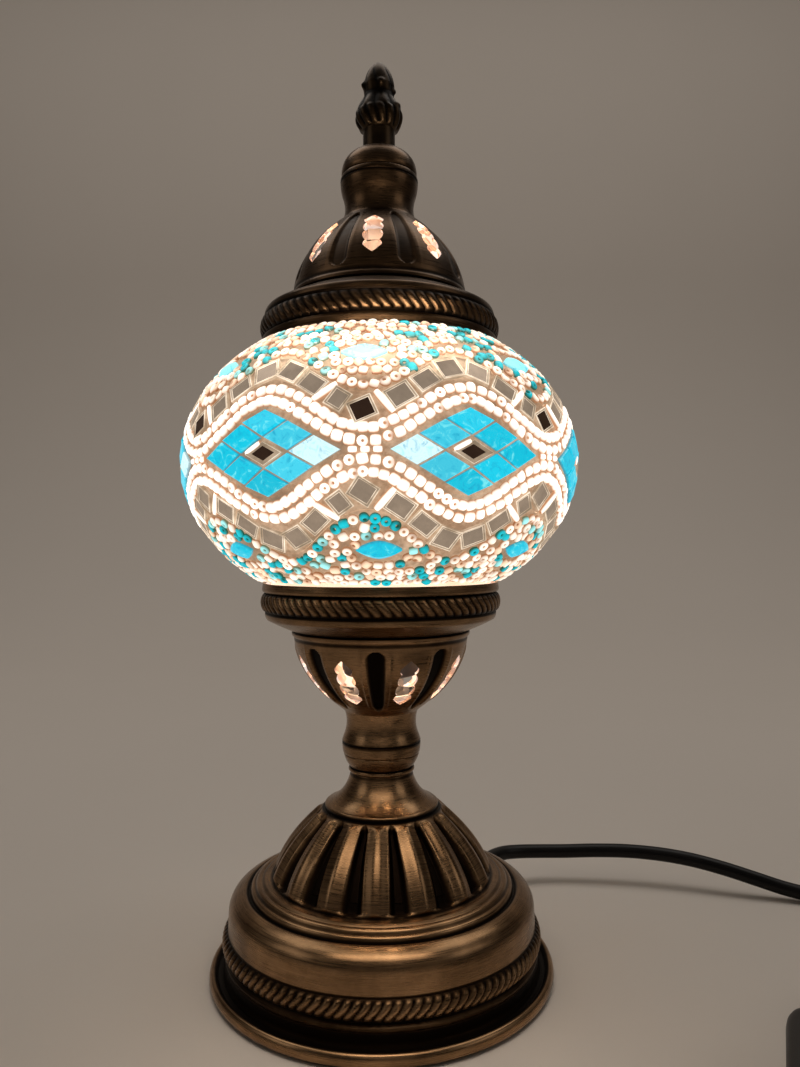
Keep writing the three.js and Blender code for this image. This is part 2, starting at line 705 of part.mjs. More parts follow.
add("base_cover", baseCover(), bronze);
baseInside();
add("cord_relief", cordRelief(), blackPlastic);
stem();
add("neck_bowl", neckBowl(), bronze);
add("lower_gallery",
  gallery(-1, LOWER_RIM_Z, LOWER_GALLERY_H, LOWER_WINDOW_TURN, STEM_HOLE_R), bronze);
lampholder();
bulb();
add("harp", harp(), steel);
topRod();
add("globe_glass", glassGlobe(), clearGlass);
mosaic();
add("upper_gallery",
  gallery(1, UPPER_RIM_Z, UPPER_GALLERY_H, UPPER_WINDOW_TURN, ROD_HOLE_R), bronze);
add("upper_collar", upperCollar(), bronze);
add("finial", finial(), bronze);
cords();
add("cord_tie", cordTie(), blackPlastic);
inlineSwitch();
mainsPlug();

export default lamp;
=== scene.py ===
"""The looks of a mosaic globe table lamp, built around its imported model.

Blender works in metres, +Z up, with the lamp's front towards -Y and its cord towards +X.
Sizes here are in millimetres, as on a drawing, and every mesh is scaled by MM as it is made.
A turn is an angle in degrees from the front, towards +X.
"""

import math

import bmesh
import bpy
import numpy as np
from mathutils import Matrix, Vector


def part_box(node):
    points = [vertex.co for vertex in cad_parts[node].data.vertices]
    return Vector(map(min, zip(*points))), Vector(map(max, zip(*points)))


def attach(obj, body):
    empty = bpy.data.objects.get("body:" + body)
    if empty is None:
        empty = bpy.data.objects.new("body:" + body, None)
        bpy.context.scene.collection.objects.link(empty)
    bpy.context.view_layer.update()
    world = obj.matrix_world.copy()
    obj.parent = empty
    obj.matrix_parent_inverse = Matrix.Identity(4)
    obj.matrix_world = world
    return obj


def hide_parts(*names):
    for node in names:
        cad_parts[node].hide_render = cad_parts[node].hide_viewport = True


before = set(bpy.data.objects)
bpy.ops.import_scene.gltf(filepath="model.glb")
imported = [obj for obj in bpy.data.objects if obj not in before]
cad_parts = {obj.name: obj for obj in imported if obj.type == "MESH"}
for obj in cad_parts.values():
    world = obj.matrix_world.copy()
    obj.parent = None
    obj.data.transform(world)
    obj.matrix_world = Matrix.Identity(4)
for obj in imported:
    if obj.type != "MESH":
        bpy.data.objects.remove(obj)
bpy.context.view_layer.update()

MM = 0.001
chance = np.random.default_rng(11)

# ---------------------------------------------------------------- sizes from the frame


def low_mm(node, axis):
    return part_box(node)[0][axis] / MM


def high_mm(node, axis):
    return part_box(node)[1][axis] / MM


BASE_RIM_R = high_mm("base_cover", 0)
BASE_TOP_Z = high_mm("base_cover", 2)
LOWER_RIM_Z = high_mm("lower_gallery", 2)
LOWER_GALLERY_H = LOWER_RIM_Z - low_mm("lower_gallery", 2)
UPPER_RIM_Z = low_mm("upper_gallery", 2)
UPPER_GALLERY_H = high_mm("upper_gallery", 2) - UPPER_RIM_Z
COLLAR_Z = low_mm("upper_collar", 2)
TIP_Z = high_mm("finial", 2)

WALL = 1.0
STEM_HOLE_R = 5.3
ROD_HOLE_R = 4.3
RIBS = 15
WINDOWS = 8
LOWER_WINDOW_TURN = 20.5
UPPER_WINDOW_TURN = -3.5
DRAWN_H = 60.3  # a gallery is drawn at this height, then scaled to its own

GLOBE_Z = 179.2
GLOBE_R = 70.0
GLOBE_HALF_H = 52.5
GLASS_R = high_mm("globe_glass", 0)
GLASS_T = 2.5
GLASS_NECK_R = 39.2
FIELD_END = 40.6  # height of the mosaic's edges over and under the globe's middle

REPEATS = 7
PERIOD = 360 / REPEATS
PATTERN_TURN = 23.6
PATTERN_MID_Z = 177.0
WAVE_CREST = 17.5
WAVE_TROUGH = 4.6
WAVE_W = 7.6
MIRROR_W = 8.4
MOSAIC_T = 2.0
GROUT_DEPTH = 1.0  # from the mosaic's face down to the grout's

CORD_R = 3.0
EXIT_TURN = 54.0  # from +X
EXIT_Z = 13.5
RELIEF_END_R = 76.0
SWITCH_AT = (119.0, -88.0, 0.0)
SWITCH_TURN = -25.0
SWITCH_HALF = np.array([14.0, 32.0])
SWITCH_TOP_Z = 16.4
SWITCH_CORD_Z = 8.8
SWITCH_RELIEF_END = 44.0
COIL_AT = (167.5, -125.0, 0.0)
PLUG_AT = (212.6, -55.0, 7.3)

# ---------------------------------------------------------------- camera


def make_camera():
    """The photograph's view, from close by, at the height of the globe's lower edge."""
    data = bpy.data.cameras.new("camera")
    data.sensor_width = 36
    data.lens = 27.46
    camera = bpy.data.objects.new("camera", data)
    camera.location = (0.007, -0.2948, 0.150)
    tilt_up, roll = 0.9, 0.25
    camera.rotation_euler = (math.radians(90 + tilt_up), math.radians(roll), 0)
    bpy.context.scene.collection.objects.link(camera)
    bpy.context.scene.camera = camera


# ---------------------------------------------------------------- shader building


class Shader:
    """A Principled material, with short calls for the nodes that feed it."""

    def __init__(self, name, **sockets):
        self.material = bpy.data.materials.new(name)
        self.material.use_nodes = True
        self.tree = self.material.node_tree
        self.main = self.tree.nodes["Principled BSDF"]
        self.set(**sockets)

    def set(self, **sockets):
        for socket, value in sockets.items():
            self.feed(self.main.inputs[socket.replace("_", " ")], value)

    def feed(self, socket, value):
        """Links a socket to another node's output, or gives it a value of its own."""
        if isinstance(value, bpy.types.NodeSocket):
            self.tree.links.new(value, socket)
        else:
            socket.default_value = (*value, 1.0) if socket.type == "RGBA" else value

    def node(self, kind, inputs, output=0, **settings):
        """Adds a node, feeds its inputs by name or number, and gives one of its outputs."""
        made = self.tree.nodes.new("ShaderNode" + kind)
        for key, value in settings.items():
            setattr(made, key, value)
        for key, value in inputs.items():
            self.feed(made.inputs[key], value)
        return made.outputs[output]

    def place(self):
        return self.node("TexCoord", {}, "Object")

    def attribute(self, name, output="Fac"):
        return self.node("Attribute", {}, output, attribute_name=name)

    def maths(self, operation, a, b, clamp=False):
        return self.node("Math", {0: a, 1: b}, operation=operation, use_clamp=clamp)

    def plus(self, a, b, clamp=False):
        return self.maths("ADD", a, b, clamp)

    def times(self, a, b, clamp=False):
        return self.maths("MULTIPLY", a, b, clamp)

    def vector(self, operation, a, b=(0.0, 0.0, 0.0), scale=1.0):
        return self.node("VectorMath", {0: a, 1: b, 3: scale}, operation=operation)

    def noise(self, scale, detail=4.0, rough=0.5, place=None, distortion=0.0):
        place = self.place() if place is None else place
        inputs = {"Vector": place, "Scale": scale, "Detail": detail, "Roughness": rough,
                  "Distortion": distortion}
        return self.node("TexNoise", inputs, "Fac")

    def ramp(self, value, *stops):
        made = self.node("ValToRGB", {"Fac": value}, "Color")
        elements = made.node.color_ramp.elements
        while len(elements) < len(stops):
            elements.new(0.5)
        for element, (position, colour) in zip(elements, stops):
            element.position = position
            element.color = (*colour, 1.0)
        return made

    def span(self, value, low, high, out_low=0.0, out_high=1.0):
        return self.node("MapRange", {0: value, 1: low, 2: high, 3: out_low, 4: out_high})

    def mix(self, factor, a, b, blend="MIX"):
        return self.node("Mix", {0: factor, 6: a, 7: b}, 2, data_type="RGBA", blend_type=blend)

    def bump(self, height, distance_mm, strength):
        inputs = {"Strength": strength, "Distance": distance_mm * MM, "Height": height}
        self.set(Normal=self.node("Bump", inputs, "Normal"))


# ---------------------------------------------------------------- materials


def shade(colour, factor):
    return tuple(factor * part for part in colour)


def cloudy(name, cloud, base, roughness=None, glow=None, grain=None, **sockets):
    """A material whose colour, roughness and glow each run between two values on one noise.
    cloud is that noise. grain is another, with the depth in mm and the strength of its bump."""
    shader = Shader(name, **sockets)
    value = shader.noise(*cloud)
    shader.set(Base_Color=shader.mix(value, *base))
    if roughness:
        shader.set(Roughness=shader.span(value, 0.3, 0.7, *roughness))
    if glow:
        shader.set(Emission_Color=shader.mix(value, *glow))
    if grain:
        fine, depth, strength = grain
        shader.bump(shader.noise(*fine), depth, strength)
    return shader.material


def brushing(shader, lines_per_mm, round_scale=3.0):
    """Noise in rings about the lamp's axis, from each point's length along its outline."""
    flat = shader.vector("MULTIPLY", shader.place(), (1.0, 1.0, 0.0))
    heading = shader.vector("SCALE", shader.vector("NORMALIZE", flat), scale=round_scale)
    along = shader.node("CombineXYZ", {"Z": shader.times(shader.attribute("along"), lines_per_mm)})
    return shader.noise(1.0, 3.0, 0.6, shader.vector("ADD", heading, along))


def bronze(name, deep, bright, roughness):
    """Antique bronze, worn bright on its high places, and dark in its hollows with patina and painted
    shade.
    """
    shader = Shader(name, Metallic=1.0, Anisotropic=0.5, Anisotropic_Rotation=0.25)
    # The hollow attribute darkens tone and colour almost to black: patina and painted shade in grooves
    # and undercuts.
    hollow = shader.attribute("hollow")
    lines = brushing(shader, 2.2)
    worn = shader.span(shader.noise(55.0, 5.0, 0.6), 0.32, 0.72)
    tone = shader.plus(shader.times(worn, 0.55), shader.times(lines, 0.6))
    tone = shader.maths("SUBTRACT", tone, shader.times(hollow, 0.9), True)
    halfway = tuple((a + b) / 2 for a, b in zip(deep, bright))
    metal = shader.ramp(tone, (0.0, deep), (0.55, halfway), (0.95, bright))
    rough = shader.span(lines, 0.3, 0.7, roughness, roughness + 0.14)
    shader.set(
        Base_Color=shader.mix(shader.times(hollow, 0.93, True), metal, (0.006, 0.004, 0.003)),
        Roughness=shader.plus(rough, shader.times(hollow, 0.25)),
        Tangent=shader.node("Tangent", {}, direction_type="RADIAL", axis="Z"))
    shader.bump(shader.plus(lines, shader.times(shader.noise(420.0, 3.0), 0.35)), 0.035, 0.55)
    return shader.material


def glow_painted_brass():
    """The raw inside of a gallery, crumpled by the press and lit by the bulb, with more of the bulb's
    light painted on as a glow.
    """
    shader = Shader("glow_painted_brass", Metallic=0.75, Emission_Strength=0.76)
    cells = shader.node("TexVoronoi", {"Vector": shader.place(), "Scale": 260.0}, "Color")
    facet = shader.node("SeparateColor", {0: cells})
    patch = shader.plus(shader.times(facet, 0.6), shader.times(shader.noise(90.0, 3.0), 0.5), True)
    shader.set(
        Base_Color=shader.mix(patch, (0.18, 0.10, 0.07), (0.36, 0.28, 0.24)),
        Emission_Color=shader.ramp(patch, (0.12, (0.16, 0.05, 0.02)), (0.38, (0.55, 0.26, 0.15)),
                                   (0.62, (0.86, 0.62, 0.52)), (0.85, (1.0, 0.9, 0.84))),
        Roughness=shader.span(patch, 0.2, 0.9, 0.28, 0.5))
    shader.bump(facet, 0.25, 0.6)
    return shader.material


def plain_metal(name, colour, roughness):
    return cloudy(name, (160.0, 5.0, 0.6), (shade(colour, 0.7), colour),
                  (roughness, roughness + 0.15), grain=((900.0, 3.0), 0.02, 0.5), Metallic=1.0)


def plastic(name, colour, roughness, grain, shine):
    """Moulded plastic with a fine spark-eroded grain."""
    return cloudy(name, (70.0, 5.0), (shade(colour, 0.7), shade(colour, 1.25)),
                  (roughness - 0.05, roughness + 0.08), grain=((1500.0, 2.0), grain, 0.6),
                  Specular_IOR_Level=shine)


def rough_stuff(name, colour, scale, depth_mm):
    """Felt, board, ceramic or cast iron: a matt surface with its own coarse grain."""
    coarse = (scale, 6.0, 0.7)
    return cloudy(name, coarse, (shade(colour, 0.55), colour), grain=(coarse, depth_mm, 0.8),
                  Roughness=0.9, Specular_IOR_Level=0.2)


def opal_glass():
    """The lit bulb."""
    return cloudy("opal_glass", (60.0, 3.0), ((0.95, 0.9, 0.8), (1.0, 0.96, 0.9)),
                  glow=((1.0, 0.72, 0.46), (1.0, 0.84, 0.64)), Roughness=0.25, Emission_Strength=14.0)


def frosted_globe():
    """The globe's own glass, glowing with the bulb's light."""
    return cloudy("globe_glass", (45.0, 4.0), ((0.8, 0.74, 0.66), (0.95, 0.92, 0.86)),
                  glow=((0.85, 0.62, 0.42), (1.0, 0.8, 0.6)), Roughness=0.3, Emission_Strength=0.8)


def grout():
    """Filler between the pieces, brown where it is thick and warm where light comes through."""
    shader = Shader("grout", Roughness=0.75, Emission_Strength=1.0)
    fine = shader.noise(600.0, 4.0, 0.6)
    tone = shader.plus(shader.times(shader.noise(70.0, 4.0, 0.6), 0.7), shader.times(fine, 0.4), True)
    shader.set(
        Base_Color=shader.mix(tone, (0.2, 0.16, 0.12), (0.5, 0.44, 0.36)),
        Emission_Color=shader.ramp(tone, (0.30, (0.17, 0.095, 0.055)), (0.52, (0.32, 0.19, 0.11)),
                                   (0.68, (0.55, 0.36, 0.23)), (0.82, (0.85, 0.62, 0.43))))
    shader.bump(fine, 0.2, 0.6)
    return shader.material


def glowing_glass(name, body):
    """Glass lit from behind. body(shader, tint, lift) gives its colour from the two attributes of
    its mesh: its own tint, and its lift, which is 0 by the grout and 1 on the crown."""
    shader = Shader(name, Roughness=0.1, Emission_Strength=1.0)
    colour = body(shader, shader.attribute("tint", "Color"), shader.attribute("lift"))
    shader.set(Emission_Color=colour, Base_Color=shader.mix(0.6, colour, (0.1, 0.1, 0.1)))
    return shader.material


def bead_body(shader, tint, lift):
    """Darker and warmer at the edge, where the glass is thick."""
    warm = shader.mix(1.0, tint, (0.25, 0.13, 0.07), "MULTIPLY")
    shader.bump(shader.noise(500.0, 2.0), 0.08, 0.4)
    return shader.mix(shader.span(lift, 0.3, 1.0), warm, tint)


def streaked_body(shader, tint, lift):
    """Sheet glass with pale and deep streaks that differ from tile to tile."""
    place = shader.vector("ADD", shader.place(), shader.vector("SCALE", tint, scale=0.8))
    streaks = shader.noise(230.0, 5.0, 0.62, place, 1.6)
    pale = shader.times(shader.span(streaks, 0.55, 0.70), 0.6)
    deep = shader.times(shader.span(streaks, 0.30, 0.46, 1.0, 0.0), 0.7)
    body = shader.mix(deep, shader.mix(pale, tint, (0.30, 1.0, 1.0)), (0.0, 0.33, 0.55))
    shader.bump(streaks, 0.2, 0.5)
    return shader.mix(shader.span(lift, 0.0, 0.6), (0.0, 0.07, 0.11), body)


def mirror(name, colour, glow):
    """The silvered face of a small tile, spotted with age. Its glow is painted light."""
    shader = Shader(name, Metallic=0.9, Emission_Strength=1.0)
    spots = shader.noise(180.0, 5.0, 0.65)
    shader.set(Base_Color=shader.mix(shader.span(spots, 0.35, 0.7), shade(colour, 0.6), colour),
               Roughness=shader.span(spots, 0.3, 0.7, 0.1, 0.24),
               Emission_Color=shader.mix(spots, shade(glow, 0.5), glow))
    return shader.material


def glow_edge(name, dim, bright):
    """Cut glass edge with a painted glow, bright where it catches the bulb."""
    shader = Shader(name, Roughness=0.12, Emission_Strength=1.0)
    glint = shader.span(shader.noise(160.0, 3.0), 0.36, 0.62)
    shader.set(Emission_Color=shader.mix(glint, dim, bright),
               Base_Color=shader.mix(glint, (0.3, 0.26, 0.2), (0.6, 0.56, 0.5)))
    return shader.material


ANTIQUE = bronze("antique_bronze", (0.055, 0.029, 0.013), (0.48, 0.29, 0.15), 0.22)
# A darker copy of the antique bronze for the upper gallery and the collar: painted shade.
SHADE_PAINTED_BRONZE = bronze("shade_painted_bronze", (0.02, 0.011, 0.005), (0.17, 0.10, 0.053), 0.24)
CAST = bronze("cast_bronze", (0.012, 0.008, 0.005), (0.085, 0.054, 0.03), 0.30)
GLOW_PAINTED_BRASS = glow_painted_brass()
STEEL = plain_metal("zinc_steel", (0.62, 0.62, 0.6), 0.28)
BRASS = plain_metal("brass", (0.78, 0.58, 0.28), 0.22)
IRON = rough_stuff("cast_iron", (0.14, 0.14, 0.15), 320.0, 0.3)
FELT = rough_stuff("felt", (0.035, 0.032, 0.03), 1400.0, 0.35)
BOARD = rough_stuff("board", (0.42, 0.34, 0.25), 260.0, 0.12)
CERAMIC = rough_stuff("ceramic", (0.86, 0.84, 0.79), 500.0, 0.05)
BLACK = plastic("black_plastic", (0.014, 0.012, 0.011), 0.38, 0.03, 0.4)
SHEATH = plastic("cord_sheath", (0.006, 0.005, 0.005), 0.36, 0.02, 0.22)
OPAL = opal_glass()
GLOBE_GLASS = frosted_globe()
GROUT = grout()
BEAD = glowing_glass("seed_bead", bead_body)
TURQUOISE = glowing_glass("turquoise_glass", streaked_body)
# The mirror tiles' glow is painted light.
MIRROR = mirror("mirror_tile", (0.24, 0.19, 0.15), (0.34, 0.26, 0.19))
DARK_MIRROR = mirror("dark_mirror", (0.10, 0.075, 0.06), (0.035, 0.018, 0.011))
# The glow of the clear bevels and bright edges is painted light.
CLEAR_BEVEL = glow_edge("clear_bevel", (0.22, 0.16, 0.105), (0.42, 0.31, 0.21))
BRIGHT_EDGE = glow_edge("bright_edge", (0.45, 0.33, 0.22), (1.15, 0.95, 0.74))

# The mosaic's glass glows, but stays out of the renderer's list of lamps.
for small_glass in (GROUT, BEAD, TURQUOISE, MIRROR, DARK_MIRROR, CLEAR_BEVEL, BRIGHT_EDGE):
    small_glass.cycles.emission_sampling = "NONE"

# ---------------------------------------------------------------- mesh building


def spun(points, degrees, axis=2):
    """Points turned about x, y or z."""
    c, s = math.cos(math.radians(degrees)), math.sin(math.radians(degrees))
    a, b = (axis + 1) % 3, (axis + 2) % 3
    points = np.array(points, float)
    points[..., a], points[..., b] = (c * points[..., a] - s * points[..., b],
                                      s * points[..., a] + c * points[..., b])
    return points


def add_object(name, points, faces, materials, values=None, face_slots=None, smooth=True, merge=True):
    """A mesh with every face turned outwards. values holds number or colour attributes by name.
    merge welds what meets."""
    mesh = bpy.data.meshes.new(name)
    mesh.from_pydata((np.asarray(points, float) * MM).tolist(), [], faces)
    for key, data in (values or {}).items():
        data = np.asarray(data, np.float32)
        colour = data.ndim == 2
        attribute = mesh.attributes.new(key, "FLOAT_COLOR" if colour else "FLOAT", "POINT")
        attribute.data.foreach_set("color" if colour else "value", data.ravel())
    for material in materials:
        mesh.materials.append(material)
    if face_slots is not None:
        mesh.polygons.foreach_set("material_index", np.asarray(face_slots, np.int32))
    mesh.polygons.foreach_set("use_smooth", np.array(np.broadcast_to(smooth, len(faces))))
    work = bmesh.new()
    work.from_mesh(mesh)
    if merge:
        bmesh.ops.remove_doubles(work, verts=work.verts, dist=0.004 * MM)
        bmesh.ops.dissolve_degenerate(work, edges=work.edges, dist=0.001 * MM)
    bmesh.ops.recalc_face_normals(work, faces=work.faces)
    work.to_mesh(mesh)
    work.free()
    made = bpy.data.objects.new(name, mesh)
    bpy.context.scene.collection.objects.link(made)
    return made


def piece(name, points, faces, materials, node=None, body="stand", slot=None, **mesh_options):
    """An object that rides on a body, in the place of a CAD node. slot is not used."""
    made = add_object(name, points, faces, materials, **mesh_options)
    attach(made, body)
    if node:
        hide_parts(node)
    return made


def sharpen(made, degrees=38.0):
    """Smooth shading that stops at real edges."""
    made.data.set_sharp_from_angle(angle=math.radians(degrees))
    return made


def outline(start, *parts, step=0.7):
    """Points along lines, each given by its end, and curves, each given by (control, end)."""
    made = [np.array(start, float)]
    for part in parts:
        a = made[-1]
        if np.ndim(part) == 1:
            b = np.array(part, float)
            count = max(1, round(np.linalg.norm(b - a) / step))
            made += [a + (b - a) * t for t in np.linspace(0, 1, count + 1)[1:]]
        else:
            control, b = np.array(part, float)
            reach = np.linalg.norm(control - a) + np.linalg.norm(b - control)
            count = max(3, round(reach / step))
            made += [a * (1 - t) ** 2 + control * 2 * t * (1 - t) + b * t * t
                     for t in np.linspace(0, 1, count + 1)[1:]]
    return np.array(made)


def outline_normals(points):
    """The normal of each outline point, to the right of its way along."""
    way = np.gradient(points, axis=0)
    normals = np.stack([way[:, 1], -way[:, 0]], 1)
    return normals / np.maximum(np.linalg.norm(normals, axis=1, keepdims=True), 1e-9)


def lengths_along(points):
    return np.concatenate([[0], np.cumsum(np.linalg.norm(np.diff(points, axis=0), axis=1))])


def swept(rows, steps, relief=None):
    """The grid of a turned surface, and its hollows. rows is [r, z]. relief(turns) gives the shift
    of each point along the outline's normal, and its hollow."""
    turns = np.arange(steps)[:, None] * 360.0 / steps
    shift, hollow = relief(turns) if relief else (0.0, 0.0)
    still = np.zeros((steps, len(rows)))
    normals = outline_normals(rows)
    r = rows[:, 0] + shift * normals[:, 0] + still
    z = rows[:, 1] + shift * normals[:, 1] + still
    angle = np.radians(turns)
    return np.stack([r * np.sin(angle), -r * np.cos(angle), z], -1), hollow + still


def grid_faces(columns, rows, wrap_rows):
    """Quads over a grid whose columns close round the axis, and whose rows may close too."""
    i, j = np.meshgrid(np.arange(columns), np.arange(rows if wrap_rows else rows - 1), indexing="ij")
    after_i, after_j = (i + 1) % columns, (j + 1) % rows
    quads = [i * rows + j, after_i * rows + j, after_i * rows + after_j, i * rows + after_j]
    return np.stack(quads, -1).reshape(-1, 4).tolist()


def turned(name, rows, steps, materials, node, body="stand", slot=None, relief=None, dark=0.0,
           row_slots=None):
    """A lathe-turned piece. An outline that starts on the axis ends there, and any other is closed.
    dark is the least hollow of each outline point."""
    grid, hollow = swept(rows, steps, relief)
    faces = grid_faces(steps, len(rows), rows[0, 0] > 0)
    values = {"along": np.tile(lengths_along(rows), steps), "hollow": np.maximum(hollow, dark).ravel()}
    face_slots = None if row_slots is None else np.tile(row_slots, steps)
    return sharpen(piece(name, grid.reshape(-1, 3), faces, materials, node, body, slot, values=values,
                         face_slots=face_slots))


def level(plan, z):
    """A plan of [x, y] points, laid at a height."""
    return np.column_stack([plan, np.full(len(plan), z)])


def stacked(rings):
    """Points and faces of a solid from rings of equal count: its sides ring by ring, then its last
    ring's cap, then its first's."""
    count = len(rings[0])
    ends = [list(range((len(rings) - 1) * count, len(rings) * count)), list(range(count))[::-1]]
    sides = [[k * count + i, k * count + (i + 1) % count, (k + 1) * count + (i + 1) % count,
              (k + 1) * count + i] for k in range(len(rings) - 1) for i in range(count)]
    return np.vstack(rings), sides + ends


def corners(low, high):
    """The plan of a rectangle, from its low corner round to the left."""
    return np.array([(low[0], low[1]), (high[0], low[1]), (high[0], high[1]), (low[0], high[1])])


def carve(made, points, faces, solver="MANIFOLD"):
    """Cuts a shape out of a piece."""
    cutter = add_object("cutter", points, faces, [made.data.materials[-1]], smooth=False)
    modifier = made.modifiers.new("carve", "BOOLEAN")
    modifier.operation = "DIFFERENCE"
    modifier.object = cutter
    modifier.solver = solver
    graph = bpy.context.evaluated_depsgraph_get()
    mesh = bpy.data.meshes.new_from_object(made.evaluated_get(graph))
    made.modifiers.clear()
    old = made.data
    made.data = mesh
    bpy.data.meshes.remove(old)
    bpy.data.objects.remove(cutter)


class Batch:
    """Many small shapes that make one piece, each of a material or with one for each face."""

    def __init__(self, materials):
        self.materials = materials
        self.points, self.faces, self.slots, self.smooth = [], [], [], []
        self.tints, self.lifts, self.count = [], [], 0

    def add(self, points, faces, material, tint=(1.0, 1.0, 1.0), lift=1.0, smooth=True):
        each = material if isinstance(material, list) else [material] * len(faces)
        self.points.append(points)
        self.faces += [[self.count + i for i in face] for face in faces]
        self.slots += [self.materials.index(one) for one in each]
        self.smooth += [smooth] * len(faces)
        self.tints.append(np.tile([*tint, 1.0], (len(points), 1)))
        self.lifts.append(np.broadcast_to(lift, len(points)).astype(float))
        self.count += len(points)

    def make(self, name, node, body, slot):
        values = {"tint": np.vstack(self.tints), "lift": np.concatenate(self.lifts)}
        return piece(name, np.vstack(self.points), self.faces, self.materials, node, body, slot,
                     smooth=self.smooth, face_slots=self.slots, merge=False, values=values)


# ---------------------------------------------------------------- bronze pressings


def smooth_step(value, low, high):
    t = np.clip((value - low) / (high - low), 0, 1)
    return t * t * (3 - 2 * t)


def closed_shell(outer, inner):
    """One closed outline from an outer side and an inner side that both run the same way."""
    return np.vstack([outer, inner[::-1]])


def off_nearest(turn, first, spacing):
    """How far a turn is from the nearest of evenly spaced ones."""
    return np.abs((turn - first + spacing / 2) % spacing - spacing / 2)


def rope(turn, height, strands, lean, half, lobe):
    """Twisted rope round a band: outward shift and hollow at a height over the band's middle."""
    across = np.clip(np.abs(height) / half, 0, 1)
    phase = turn * strands / 360 + lean * 0.55 * np.sin(0.5 * np.pi * np.clip(height / half, -1, 1))
    strand = np.abs(2 * (phase % 1.0) - 1)
    crown = np.sqrt(np.clip(1 - strand ** (2.4 - 1.5 * np.clip(height / half, 0, 1)), 0, 1))
    shift = np.sqrt(1 - across**2) * (0.25 + 0.75 * crown) * lobe
    hollow = np.where(across < 1, np.clip(1.15 - crown * 1.25, 0, 1) + 0.5 * across**4, 0.0)
    return shift, np.clip(hollow, 0, 1)


def recess(rows, *places):
    """Darkening of patina and painted shade in grooves and undercuts: each place is (r, z, reach,
    strength).
    """
    dark = np.zeros(len(rows))
    for r, z, reach, strength in places:
        distance = np.hypot(rows[:, 0] - r, rows[:, 1] - z)
        dark = np.maximum(dark, strength * (1 - smooth_step(distance, 0.35 * reach, reach)))
    return dark


def base_relief(rows):
    """The base's rope band, and the hollows that leave its dome ribbed."""
    r, z = rows[:, 0], rows[:, 1]
    on_wall = (r > 52) & (z > 9) & (z < 19)
    on_dome = (r < 38.9) & (z > 33.3) & (z < 57.0)
    rise = np.clip((z - 33.6) / (56.8 - 33.6), 0, 1)
    ends = smooth_step(rise, 0.0, 0.05) * (1 - smooth_step(rise, 0.93, 1.0))
    half = (5.6 - 2.4 * rise**1.1) * np.sqrt(np.clip(ends, 0, 1)) + 1e-6
    rib_half = 180 / RIBS

    def relief(turns):
        band, band_hollow = rope(turns, z - 13.9, 114, -1.0, 3.2, 2.0)
        off = off_nearest(turns, 10.2, 2 * rib_half)
        sunk = 1 - smooth_step(off / half, 0.35, 1.15)
        crown = 0.55 * np.cos(np.pi * np.clip((rib_half - off) / (rib_half - half), 0, 1)) + 0.2
        dome = ends * (crown * (1 - sunk) - 2.6 * sunk)
        return (np.where(on_wall, band, np.where(on_dome, dome, 0.0)),
                np.where(on_wall, band_hollow, np.where(on_dome, np.clip(sunk * ends * 1.25, 0, 1), 0.0)))

    return relief


def make_base():
    outer = outline(
        (53.6, 1.6), (57.4, 1.6), (57.5, 0.5), ((58.5, 0.2), (59.7, 0.5)),
        ((BASE_RIM_R + 0.1, 1.0), (BASE_RIM_R, 2.4)), ((BASE_RIM_R - 0.1, 3.9), (59.4, 4.4)),
        ((58.6, 4.6), (58.2, 3.7)), (57.4, 2.9), (55.9, 3.0), (55.2, 4.2), (54.7, 7.6),
        ((55.4, 8.4), (55.2, 9.2)), (54.2, 10.2), (54.2, 17.6), (54.0, 23.4),
        ((53.9, 28.2), (48.6, 29.9)), ((47.6, 30.0), (47.2, 29.3)), (46.6, 29.4), (46.3, 30.6),
        ((46.0, 31.5), (44.9, 31.4)), (44.4, 32.3), ((43.9, 33.0), (42.6, 32.7)), (41.8, 33.3),
        (38.8, 33.4), ((34.9, 45.4), (21.0, 56.9)), (20.1, 57.0), (20.3, 57.7),
        ((20.5, 58.7), (19.4, 58.8)), ((13.2, 61.6), (11.3, 68.6)), (11.0, BASE_TOP_Z),
        (STEM_HOLE_R, BASE_TOP_Z), step=0.5)
    inner = outline(
        (52.6, 1.8), (52.8, 22.0), ((52.0, 27.5), (47.5, 28.2)), (43.0, 30.0), (34.5, 31.0),
        ((31.0, 42.0), (16.5, 54.0)), ((11.0, 58.5), (9.4, 68.0)), (STEM_HOLE_R, 68.3), step=3.0)
    rows = closed_shell(outer, inner)
    dark = recess(
        rows, (56.6, 2.9, 3.2, 1.0), (54.6, 6.0, 2.6, 1.0), (55.2, 9.2, 1.6, 0.5),
        (54.2, 10.4, 1.0, 1.0), (54.2, 17.4, 0.7, 0.8), (47.0, 29.3, 1.4, 1.0),
        (44.6, 31.6, 0.6, 0.45), (41.9, 33.0, 0.6, 0.3), (38.8, 33.6, 0.9, 0.7),
        (20.3, 57.0, 1.6, 1.0), (11.1, 68.9, 0.6, 0.6))
    turned("base_shell", rows, 720, [ANTIQUE], "base_cover", relief=base_relief(rows), dark=dark)


def gallery_outline(scale, groove, step):
    """A gallery's side as [r, height below its rim], from its neck end to its rim, with a groove
    round the bulge of its neck."""
    side = outline(
        (13.5, DRAWN_H), ((14.0, 60.0), (14.1, groove + 0.4)), (13.8, groove), (14.1, groove - 0.4),
        ((13.9, 55.0), (13.1, 53.0)), ((11.8, 49.0), (13.2, 45.2)), (14.4, 44.2),
        ((29.6, 33.4), (31.2, 19.2)), (31.9, 18.3), (32.0, 17.5), (31.4, 16.9),
        ((36.6, 14.9), (40.7, 12.7)), ((41.5, 11.8), (41.4, 10.4)), (41.2, 10.0), (41.2, 3.4),
        ((42.4, 3.2), (42.4, 2.2)), (42.1, 0.0), step=step)
    return side * [1.0, scale]


